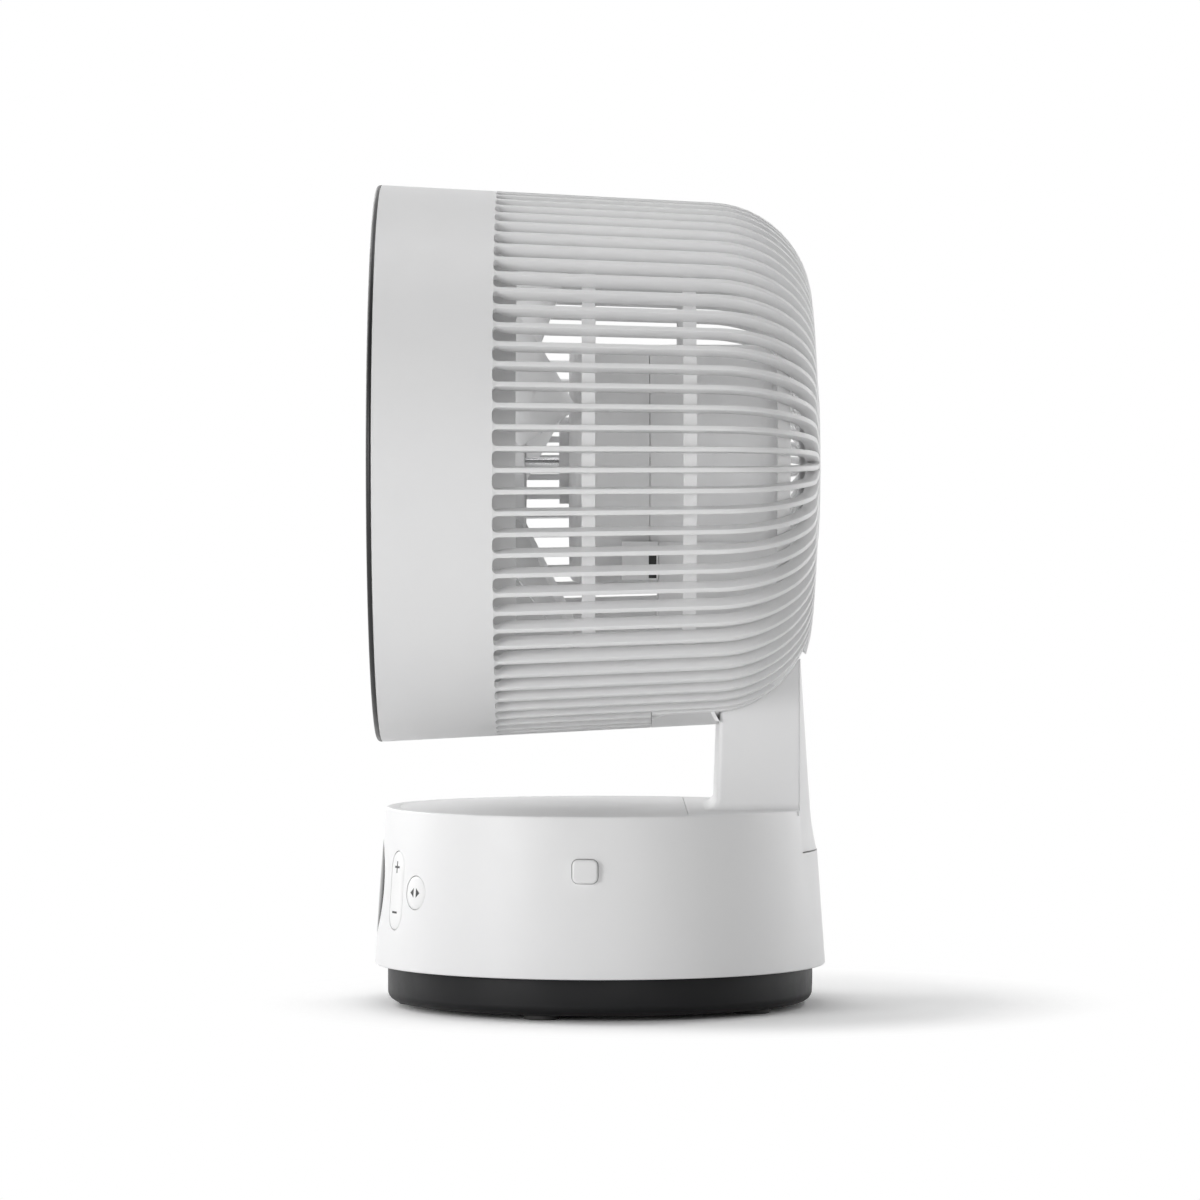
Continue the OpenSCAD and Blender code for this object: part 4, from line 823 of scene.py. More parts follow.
@dataclass
class RibbedShell:
    """The head's one-piece moulding: a smooth drum that runs on into ribs, with a closed disc at the rear."""

    form: HeadForm
    ribs: int = 82
    slot_front: float = -0.0462
    corner: float = 0.0022
    rib_half: float = 0.00112
    fullest: float = 0.33
    draft: float = 0.00036
    rib_gap: float = 0.00012
    wall: float = 0.0025
    lip: float = 0.0032
    lip_round: float = 0.0003
    rib_depth: float = 0.006
    gusset: float = 0.006
    gusset_places: tuple[float, ...] = (0.0, 0.00008, 0.0003, 0.0007, 0.0012, 0.0017, 0.0022, 0.003, 0.0045, 0.006)
    edge: float = 0.00045
    edge_bend: float = 0.29
    band_front: float = 0.014
    band_rear: float = 0.006
    lip_run: float = 0.001
    disc_r: float = 0.0375

    def half_at(self, y: float, r: float) -> float:
        """Half the rib's outer width, flared into the drum by the slots' round corners.

        Args:
            y: place along the axis.
            r: distance from the axis.

        Returns:
            The half width.
        """
        half = min(self.rib_half, self.fullest * 2 * math.pi * r / self.ribs)
        into = y - self.slot_front
        if into < self.corner:
            half += self.corner - math.sqrt(max(0.0, self.corner**2 - (self.corner - into) ** 2))
        return half

    def rib_loop(self, station: Station) -> list[Point]:
        """Cross-section of one rib: six points outside and six inside.

        Args:
            station: place, radius and inward direction of the outline there.

        Returns:
            The twelve points, round an axis through the origin.
        """
        y, r, ny, nr = station
        into = max(0.0, min(1.0, (y - self.slot_front) / self.gusset))
        depth = self.lip + (self.rib_depth - self.lip) * into * into * (3 - 2 * into)
        half = self.half_at(y, r)
        room = math.pi * (r + nr * depth) / self.ribs - self.rib_gap
        inner = min(half + self.draft * into, room)
        soft = self.edge * max(0.02, min(1.0, (y - self.slot_front) / self.corner))
        near, part = min(soft, half * 0.9), self.edge_bend
        outside = [(-half, near), (-half + part * near, part * near), (-half + near, 0.0)]
        inside = [(-inner + near, depth), (-inner + part * near, depth - part * near), (-inner, depth - near)]
        loop = outside + [(-u, w) for u, w in reversed(outside)]
        loop += [(-u, w) for u, w in reversed(inside)] + inside
        return [(u, y + ny * w, r + nr * w - u * u / (2 * r)) for u, w in loop]

    def band_loop(self, y: float, depth: float, lowered: float = 0.0) -> list[Point]:
        """Cross-section of the drum over one rib's share of the circle.

        Args:
            y: place along the axis.
            depth: the drum's thickness there.
            lowered: how far its outside lies under the cone.

        Returns:
            Eight points outside and eight inside.
        """
        radius = self.form.cone_r(y)
        rib = self.rib_loop(self.form.on_cone(self.slot_front))
        share = math.pi / self.ribs
        loop = []
        for points, w, side in ((rib[:6], lowered, -share), (rib[6:], depth, share)):
            angles = [side, *[math.atan2(p[0], p[2]) for p in points], -side]
            loop += [((radius - w) * math.sin(a), y, (radius - w) * math.cos(a)) for a in angles]
        return loop

    def last_band_loop(self) -> list[Point]:
        """The drum's last cross-section, which runs through the points where the rib starts.

        Returns:
            Eight points outside and eight inside.
        """
        loop = self.band_loop(self.slot_front, self.lip)
        rib = self.rib_loop(self.form.on_cone(self.slot_front))
        return [loop[0], *rib[:6], loop[7], loop[8], *rib[6:], loop[15]]

    def stations(self) -> list[Station]:
        """The places of the rib's cross-sections, from the drum to under the disc.

        Returns:
            Place, radius and inward direction of each.
        """
        form = self.form
        run = form.cone_end - self.slot_front - self.gusset
        places = [self.slot_front + d for d in self.gusset_places]
        places += [self.slot_front + self.gusset + run * k / 6 for k in range(1, 6)]
        found = [form.on_cone(y) for y in places] + [form.on_shoulder(k / 12) for k in range(13)]
        start, end = found[-1][1], self.disc_r - 0.001
        return found + [form.on_dome(start + (end - start) * k / 5) for k in range(1, 6)]

    def element(self) -> Shape:
        """One rib with its share of the drum, round an axis through the origin.

        Returns:
            The shape.
        """
        shape, front, slots = Shape(), self.form.front, self.slot_front
        rows = [self.band_loop(front, self.wall, self.lip_round)]
        for y in (front + self.lip_round, front + self.band_front, (front + slots) / 2, slots - self.band_rear):
            rows.append(self.band_loop(y, self.wall))
        rows += [self.band_loop(slots - self.lip_run, self.lip), self.last_band_loop()]
        for below, above in zip(rows, rows[1:]):
            shape.grid([below[:8], above[:8]])
            shape.grid([below[8:], above[8:]])
        shape.grid([rows[0][:8], rows[0][:7:-1]])
        last = rows[-1]
        for a, b in ((0, 1), (6, 7)):
            shape.grid([[last[a], last[b]], [last[15 - a], last[15 - b]]])
        loops = [self.rib_loop(station) for station in self.stations()]
        shape.grid(loops, round_rows=True)
        first = shape.add(loops[-1])
        shape.faces.append(tuple(range(first, first + 12)))
        return shape

    def build(self, well: Shape) -> Mesh:
        """The whole moulding, cut free round the neck.

        Args:
            well: the space round the neck.

        Returns:
            The mesh.
        """
        element = mesh_from(self.element(), "head_shell")
        ring = lifted(Ring(self.ribs, Axis.BLOW).of(element, WHITE_HEAD, 38.0), self.form.axis_z)
        ring = cut(ring, well, 38.0)
        y, r, _, _ = self.form.on_dome(self.disc_r)
        lap, crest, edge = 0.0004, y + 0.0007, 0.0012
        inner, rear = y - self.rib_depth - lap, self.form.rear
        profile = [
            (ON_AXIS, inner, 0), (r, inner, edge), (r, y + lap, edge), (r - 0.006, crest, 0),
            (r - 0.0068, y + 0.0002, 0.0004), (r - 0.0076, crest, 0.0003),
            (0.012, rear, 0.01), (ON_AXIS, rear, 0),
        ]
        disc = turned_mesh("disc", profile, 4, Axis.BLOW, 164, self.form.axis_z)
        return joined("head_shell", [ring, disc])


@dataclass
class FrontGrille:
    """Dark trim ring and the guard in front: a ring, swept vanes and a domed centre cap."""

    form: HeadForm
    vanes: int = 54
    trim_w: float = 0.011
    ring_w: float = 0.0009
    cap_r: float = 0.025
    cap_dome: float = 0.0009
    curve: float = 0.100
    curve_shift: float = 0.005
    vane_t: float = 0.0015
    vane_depth: float = 0.006
    lap: float = 0.0005
    edge: float = 0.0004

    def trim(self) -> Mesh:
        """The dark ring with its rounded outer corner.

        Returns:
            The mesh.
        """
        low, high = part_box("trim_ring")
        outer, inner = high.x, high.x - self.trim_w
        corners = [(outer, high.y, 0.0002), (outer, low.y, 0.0019), (inner, low.y, 0.0005), (inner, high.y, 0)]
        return turned_mesh("trim_bezel", corners, 6, Axis.BLOW, 256, self.form.axis_z)

    def vane(self) -> Mesh:
        """One vane: a thin blade with a round front edge, swept along an arc from the cap to the ring.

        Returns:
            The mesh, round an axis through the origin.
        """
        low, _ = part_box("front_grille")
        d, curve = self.curve - self.curve_shift, self.curve
        ends = (self.cap_r - 4 * self.lap, self.form.radius - self.trim_w - self.lap)
        start, end = [math.acos((d * d + curve**2 - r * r) / (2 * d * curve)) for r in ends]
        half, front, rear = self.vane_t / 2, low.y, low.y + self.vane_depth
        section = [
            (-half * 0.45, front), (half * 0.45, front), (half, front + half * 0.7), (half, rear - half),
            (half * 0.5, rear), (-half * 0.5, rear), (-half, rear - half), (-half, front + half * 0.7),
        ]
        rings, steps = [], 14
        for k in range(steps + 1):
            angle = start + (end - start) * k / steps
            c, s = math.cos(angle), math.sin(angle)
            rings.append([(d - (curve + off) * c, y, -(curve + off) * s) for off, y in section])
        return mesh_from(Shape().tube(rings), "front_guard")

    def build(self) -> Mesh:
        """The guard.

        Returns:
            The mesh of ring, vanes and cap.
        """
        low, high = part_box("front_grille")
        vanes = lifted(Ring(self.vanes, Axis.BLOW).of(self.vane(), WHITE_HEAD, SMOOTH_ROUND), self.form.axis_z)
        outer, inner = high.x, self.form.radius - self.trim_w - 2 * self.lap
        front, seat, rear, edge = low.y, self.form.front, high.y, self.edge
        step = inner + self.ring_w
        ring = [
            (outer, rear, 0.0003), (outer, seat, 0.0003), (step, seat, 0), (step, front, edge),
            (inner, front, edge), (inner, rear, 0.0003),
        ]
        cap = [
            (ON_AXIS, rear, 0), (self.cap_r, rear, 0.0005), (self.cap_r, front, 0.0012),
            (self.cap_r - 0.003, front - 0.0001, 0.002), (ON_AXIS, front - self.cap_dome, 0),
        ]
        meshes = [
            turned_mesh("ring", ring, 4, Axis.BLOW, 216, self.form.axis_z),
            turned_mesh("cap", cap, 5, Axis.BLOW, 128, self.form.axis_z),
        ]
        return joined("front_guard", [vanes, *meshes])


@dataclass
class Impeller:
    """Five twisted blades on a cup-shaped hub."""

    axis_z: float
    rear_clear: float
    blades: int = 5
    start: float = math.radians(-3.0)
    tip_r: float = 0.098
    hub_r: float = 0.032
    hub_l: float = 0.030
    hub_t: float = 0.0025
    hub_rear: float = -0.0334
    root_sunk: float = 0.0015
    root_inset: float = 0.002
    root_l: float = 0.028
    tip_l: float = 0.054
    span: float = math.radians(62.0)
    thick: float = 0.0021
    slant: float = math.radians(30.0)
    belly: float = 0.0035
    tip_round: float = 0.015

    def blade(self) -> Mesh:
        """One blade with thinned, rounded edges; its rear edge trails the front one round the axis.

        Returns:
            The mesh, round an axis through the origin.
        """
        across, along = 20, 26
        shares = [0.5 - 0.5 * math.cos(math.pi * j / along) for j in range(along + 1)]
        front, rear = [
            [[self.blade_point(i / across, v, side) for v in shares] for i in range(across + 1)] for side in (-1, 1)
        ]
        shape = Shape().grid(front).grid([row[::-1] for row in rear])
        shape.grid([front[0], rear[0]]).grid([rear[-1], front[-1]])
        return mesh_from(shape, "fan_wheel")

    def blade_point(self, u: float, v: float, side: int) -> Point:
        """A point of a blade.

        Args:
            u: from 0 at the root to 1 at the tip.
            v: from 0 at the front edge to 1 at the rear edge.
            side: -1 for the front face, 1 for the rear face.

        Returns:
            The point.
        """
        root = self.hub_r - self.root_sunk
        r = root + u * (self.tip_r - root)
        depth = self.root_l + u * (self.tip_l - self.root_l)
        rear = self.hub_rear - self.root_inset + u * (self.rear_clear - self.hub_rear + self.root_inset)
        angle = self.span * v
        belly = self.belly * math.sin(math.pi * v) * (0.4 + 0.6 * u)
        edge = math.sqrt(max(0.0, 1 - abs(2 * v - 1) ** 8))
        past = max(0.0, u - 1 + self.tip_round) / self.tip_round  # how far into the rounded tip
        tip = math.sqrt(max(0.0, 1 - past**2)) if u < 1 else 0.0
        off = side * self.thick / 2 / math.cos(self.slant) * edge * tip
        return r * math.cos(angle), rear - depth * (1 - v) + off - belly * (1 - v), -r * math.sin(angle)

    def build(self) -> Mesh:
        """The wheel.

        Returns:
            The mesh of blades and hub.
        """
        blades = Ring(self.blades, Axis.BLOW, self.start).of(self.blade(), GREY_CASING_PAINTED_LIGHT, 60.0)
        front, rear, r = self.hub_rear - self.hub_l, self.hub_rear, self.hub_r
        sunk, inside = front + 0.0012, r - self.hub_t
        corners = [
            (0.0035, front, 0.0003), (0.010, front, 0.0004), (0.0108, sunk, 0.0006), (0.020, sunk, 0.002),
            (r, front + 0.003, 0.004), (r, rear, 0.0006), (inside, rear, 0.0006), (inside, front + 0.0055, 0.002),
            (0.0075, front + 0.004, 0.001), (0.0070, rear - 0.0005, 0.0004), (0.0035, rear - 0.0005, 0.0003),
        ]
        hub = turned_mesh("hub", corners, 5, Axis.BLOW, 128, self.axis_z)
        return joined("fan_wheel", [lifted(blades, self.axis_z), hub])


@dataclass
class Head:
    """The tilting head: shell, guard and wheel."""

    form: HeadForm
    well_half: float = 0.0409
    well_front: float = 0.0227
    well_low: float = 0.09
    well_rear: float = 0.14
    tilt_y: float = 0.072
    tilt_z: float = 0.142
    well_r: float = 0.0256
    wheel_gap: float = 0.0011

    def well(self) -> Shape:
        """The space round the neck that the shell leaves free.

        Returns:
            The shape.
        """
        outline = [(self.well_front, self.well_low), (self.well_rear, self.well_low), (self.well_rear, self.tilt_z)]
        outline += [
            (self.tilt_y + self.well_r * math.cos(a), self.tilt_z + self.well_r * math.sin(a))
            for a in [math.pi * k / 24 for k in range(25)]
        ]
        outline.append((self.well_front, self.tilt_z))
        return Shape().plate([(-self.well_half, y, z) for y, z in outline], (2 * self.well_half, 0, 0))

    def build(self) -> None:
        """Makes the head's pieces."""
        shell = RibbedShell(self.form).build(self.well())
        new_piece(shell, WHITE_HEAD, "head", ["head_drum", "rear_cage", "cage_back"])
        guard = FrontGrille(self.form)
        new_piece(guard.trim(), DARK_TRIM, "head", ["trim_ring"])
        new_piece(guard.build(), WHITE_HEAD, "head", ["front_grille"])
        wheel = Impeller(self.form.axis_z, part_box("impeller")[1].y - self.wheel_gap)
        new_piece(wheel.build(), GREY_CASING_PAINTED_LIGHT, "impeller", ["impeller"])


# Base


@dataclass
class BaseCone:
    """The base's wall: a cone that gets narrower upwards."""

    low_z: float
    low_r: float
    top_z: float
    draft: float = math.radians(4.1)

    def radius(self, z: float) -> float:
        """Radius of the wall at a height."""
        return self.low_r - (z - self.low_z) * math.tan(self.draft)

    def point(self, angle: float, u: float, z: float, out: float = 0.0) -> Point:
        """A point over the wall.

        Args:
            angle: direction from the front towards the left side, in radians.
            u: place sideways, square to that direction.
            z: height.
            out: how far the point stands proud of the wall.

        Returns:
            The point.
        """
        along = math.sqrt((self.radius(z) + out) ** 2 - u * u)
        s, c = math.sin(angle), math.cos(angle)
        return s * along + c * u, -c * along + s * u, z


@dataclass
class Key:
    """A key or window in the base's wall, with a crown and a soft edge."""

    cone: BaseCone
    name: str
    angle: float
    z: float
    half_w: float
    half_h: float
    corner: float
    crown: float = 0.0003
    edge: float = 0.0005
    depth: float = 0.0035
    ink_lifts: Flat = (-0.0002, 0.00004)

    def height(self, u: float, v: float) -> float:
        """How far the key's face stands over the wall at a place on it.

        Args:
            u: place sideways from the key's middle.
            v: place upwards from it.

        Returns:
            The height, below 0 at the edge.
        """
        reach = max(abs(u) - (self.half_w - self.corner), 0.0), max(abs(v) - (self.half_h - self.corner), 0.0)
        inside = self.corner - math.hypot(*reach)
        bowl = self.crown * (1 - (1 - min(1.0, inside / self.corner)) ** 2)
        if inside >= self.edge:
            return bowl
        drop = self.edge - math.sqrt(max(0.0, self.edge**2 - (self.edge - max(inside, 0.0)) ** 2))
        return bowl - drop

    def on_wall(self, u: float, v: float, out: float) -> Point:
        """A point over the wall, from the key's middle."""
        return self.cone.point(self.angle, u, self.z + v, out)

    def on_face(self, u: float, v: float, lift: float = 0.0) -> Point:
        """A point over the key's face."""
        return self.on_wall(u, v, self.height(u, v) + lift)

    def build(self) -> Mesh:
        """The key as a closed piece.

        Returns:
            The mesh.
        """
        size = self.half_w, self.half_h, self.corner
        rings = [[self.on_wall(u, v, out) for u, v in pill(*size)] for out in (-self.depth, -self.edge - 0.0003)]
        insets = [share * self.edge for share in (0.0, 0.06, 0.2, 0.45, 1.0)]
        insets += [self.edge + share * (self.corner - self.edge) for share in (0.25, 0.5, 0.72, 0.9)]
        rings += [[self.on_face(u, v) for u, v in pill(*size, inset)] for inset in insets]
        return mesh_from(Shape().tube(rings), self.name, SMOOTH_ROUND)

    def stroke(self, width: float, height: float, y: float) -> Shape:
        """A printed bar across the key, in short steps that follow its crown.

        Args:
            width: the bar's width.
            height: the bar's height.
            y: place of its middle over the key's middle.

        Returns:
            The shape.
        """
        cells = 10
        across = [width * (k / cells - 0.5) for k in range(cells + 1)]
        low, top = [
            [[self.on_face(u, v, lift) for u in across] for v in (y - height / 2, y + height / 2)]
            for lift in self.ink_lifts
        ]
        shape = Shape().grid(top).grid(low[::-1])
        for end in (0, -1):
            shape.grid([low[end], top[end]])
        for end in (0, -1):
            shape.grid([[row[end] for row in low], [row[end] for row in top]])
        return shape

    def mark(self, outline: Sequence[Flat]) -> Shape:
        """A printed mark: a thin plate that follows the key's face."""
        return Shape().tube([[self.on_face(u, v, lift) for u, v in outline] for lift in self.ink_lifts])


def cross(size: float, width: float, y: float) -> list[Flat]:
    """Outline of a plus sign on the key's middle line.

    Args:
        size: width and height of the sign.
        width: width of its bars.
        y: place of its middle over the key's middle.

    Returns:
        The outline's points.
    """
    a, b = size / 2, width / 2
    steps = [(a, -b), (a, b), (b, b), (b, a), (-b, a), (-b, b), (-a, b), (-a, -b), (-b, -b), (-b, -a), (b, -a), (b, -b)]
    return [(u, y + v) for u, v in steps]


def bar(width: float, height: float, y: float) -> list[Flat]:
    """Outline of a flat bar on the middle line, by its size and the place of its middle."""
    return [(u * width / 2, y + v * height / 2) for u, v in ((-1, -1), (1, -1), (1, 1), (-1, 1))]


def arc_band(radius: float, thick: float, start: float, end: float, y: float) -> list[Flat]:
    """Outline of a bent bar on the middle line.

    Args:
        radius: radius of its middle.
        thick: its thickness.
        start: angle of its first end, in degrees.
        end: angle of its other end, in degrees.
        y: height of the arc's centre.

    Returns:
        The outline's points.
    """
    steps = 24
    angles = [math.radians(start + (end - start) * k / steps) for k in range(steps + 1)]
    outer, inner = [
        [(r * math.cos(a), y + r * math.sin(a)) for a in angles] for r in (radius + thick / 2, radius - thick / 2)
    ]
    return outer + inner[::-1]


@dataclass
class Base:
    """The swinging base: wall, top plates, keys, window and side button."""

    cone: BaseCone
    rim_w: float = 0.0063
    wall: float = 0.0026
    ledge: float = 0.004
    seam_y: float = 0.0385
    seam_gap: float = 0.0001
    plate_gap: float = 0.00015
    plate_edge: float = 0.00035
    neck_half: float = 0.0378
    neck_gap: float = 0.0003
    neck_low: float = 0.0697
    neck_rear: float = 0.12
    control_z: float = 0.0535
    rocker_angle: float = math.radians(24.2)
    rocker_size: Point = (0.007, 0.01735, 0.007)
    round_angle: float = math.radians(34.7)
    round_r: float = 0.00735
    window_r: float = 0.022
    key_gap: float = 0.00026
    key_hole: Flat = (-0.006, 0.004)
    button_size: Point = (0.00555, 0.0052, 0.0027)
    button_edge: float = 0.0011
    button_l: float = 0.0078
    button_hole: Flat = (0.088, 0.108)
    sign: float = 0.0052
    line: float = 0.0009
    plus_y: float = 0.0104
    minus_y: float = -0.0096
    arrow: Point = (0.0009, 0.0036, 0.0021)

    def keys(self) -> dict[str, Key]:
        """The keys, by the name that each one's CAD node and body share.

        Returns:
            The keys, those on the left side first in each pair.
        """
        r, made = self.round_r, {}
        for label, angle, size in (
            ("plus_minus", self.rocker_angle, self.rocker_size),
            ("timer", -self.rocker_angle, self.rocker_size),
            ("swing", self.round_angle, (r, r, r)),
            ("power", -self.round_angle, (r, r, r)),
        ):
            made[label + "_key"] = Key(self.cone, label + "_cap", angle, self.control_z, *size)
        return made

    def window(self) -> Key:
        """The round display window."""
        r = self.window_r
        return Key(self.cone, "display_glass", 0.0, self.control_z, r, r, r, crown=0.0002, edge=0.00035, depth=0.0014)

    def shell(self) -> Mesh:
        """The base's wall with its rim, cut open for the keys, the window, the button and the neck's cover.

        Returns:
            The mesh.
        """
        cone, top, wall = self.cone, self.cone.top_z, self.wall
        rim = cone.radius(top) - self.rim_w
        shelf, under = top - wall, top - 2 * wall
        corners = [
            (cone.low_r - wall, cone.low_z, 0.0004), (cone.low_r, cone.low_z, 0.0007),
            (cone.radius(top), top, 0.0011), (rim, top, 0.0003),
            (rim, shelf, 0), (rim - self.ledge, shelf, 0.0003),
            (rim - self.ledge, under, 0.0003), (cone.radius(under) - wall, under, 0.001),
        ]
        tools = Shape()
        for key in [*self.keys().values(), self.window()]:
            self.add_hole(tools, key)
        tools.tube([self.button_section(x, self.key_gap) for x in self.button_hole])
        half = self.neck_half + self.neck_gap
        back = [(-half, self.seam_y), (half, self.seam_y), (half, self.neck_rear), (-half, self.neck_rear)]
        tools.plate([(x, y, self.neck_low) for x, y in back], (0, 0, 0.05))
        return cut(turned_mesh("base_casing", corners, 6, Axis.UP, 288), tools, 32.0)

    def add_hole(self, tools: Shape, key: Key) -> None:
        """Adds the cutter for a key's hole.

        Args:
            tools: the cutters.
            key: the key.
        """
        gap = self.key_gap
        outline = pill(key.half_w + gap, key.half_h + gap, key.corner + gap, steps=14)
        tools.tube([[key.on_wall(u, v, out) for u, v in outline] for out in self.key_hole])

    def button_section(self, x: float, grow: float, inset: float = 0.0) -> list[Point]:
        """Outline of the side button at a place along X.

        Args:
            x: the place.
            grow: how much bigger than the button the outline is.
            inset: how far it is drawn in.

        Returns:
            The outline's points.
        """
        middle = centre_of("side_button")
        outline = pill(*[size + grow for size in self.button_size], inset, 8)
        return [(x, middle.y + u, middle.z + v) for u, v in outline]

    def button_cap(self) -> Mesh:
        """The side button with its rounded edge and slightly domed face.

        Returns:
            The mesh.
        """
        face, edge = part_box("side_button")[1].x, self.button_edge
        rings = [self.button_section(face - self.button_l, 0.0)]
        for angle in [math.pi / 2 * k / 5 for k in range(6)]:
            x = face - edge + edge * math.sin(angle) - 0.0001
            rings.append(self.button_section(x, 0.0, edge * (1 - math.cos(angle))))
        rings.append(self.button_section(face, 0.0, 0.0035))
        return mesh_from(Shape().tube(rings), "side_button_cap", SMOOTH_ROUND)

    def plate(self, name: str, end_y: float | None = None) -> Mesh:
        """One of the two plates on top, either side of the seam.

        Args:
            name: name of the mesh.
            end_y: where the rear plate ends; the front plate has no such end.

        Returns:
            The mesh.
        """
        top = self.cone.top_z
        rim = self.cone.radius(top) - self.rim_w - self.plate_gap
        edge = self.seam_y + (-self.seam_gap if end_y is None else self.seam_gap)
        start = math.asin(edge / rim)
        if end_y is None:
            angles = [math.pi - start + (math.pi + 2 * start) * k / 160 for k in range(161)]
        else:
            angles = [start + (math.asin(end_y / rim) - start) * k / 40 for k in range(41)]
        outline = [(rim * math.cos(a), rim * math.sin(a)) for a in angles]
        if end_y is not None:
            outline += [(-x, y) for x, y in reversed(outline)]
        shape = Shape().plate([(x, y, top - self.wall) for x, y in outline], (0, 0, self.wall))
        return bevelled(mesh_from(shape, name), self.plate_edge)

    def marks(self) -> list[tuple[str, str, Shape]]:
        """The printed signs on the keys.

        Returns:
            Name, body and shape of each.
        """
        keys, signs = self.keys(), []
        for node, plus, minus in (
            ("plus_minus_key", "plus_sign", "minus_sign"),
            ("timer_key", "timer_plus", "timer_minus"),
        ):
            signs.append((plus, node, keys[node].mark(cross(self.sign, self.line, self.plus_y))))
            signs.append((minus, node, keys[node].stroke(self.sign, self.line, self.minus_y)))
        swing, power = keys["swing_key"], keys["power_key"]
        near, tip, half = self.arrow
        for side, label in ((-1, "left"), (1, "right")):
            arrow = [(side * near, half), (side * tip, 0.0), (side * near, -half)]
            signs.append(("arrow_" + label, "swing_key", swing.mark(arrow)))
        ring = arc_band(radius=0.0024, thick=0.0007, start=125, end=415, y=-0.0002)
        signs.append(("power_ring", "power_key", power.mark(ring)))
        signs.append(("power_stroke", "power_key", power.mark(bar(width=0.0007, height=0.0029, y=0.0016))))
        return signs

    def build(self) -> None:
        """Makes every piece of the base."""
        new_piece(self.shell(), WHITE_CASING, "base", ["base_shell"])
        new_piece(self.plate("top_lid"), WHITE_CASING, "base", ["top_plate"])
        for node, key in self.keys().items():
            new_piece(key.build(), WHITE_KEYS, node, [node])
        new_piece(self.window().build(), DISPLAY, "base", ["display_window"])
        new_piece(self.button_cap(), WHITE_KEYS, "side_button", ["side_button"])
        for name, body, shape in self.marks():
            new_piece(mesh_from(shape, name), PRINT, body)


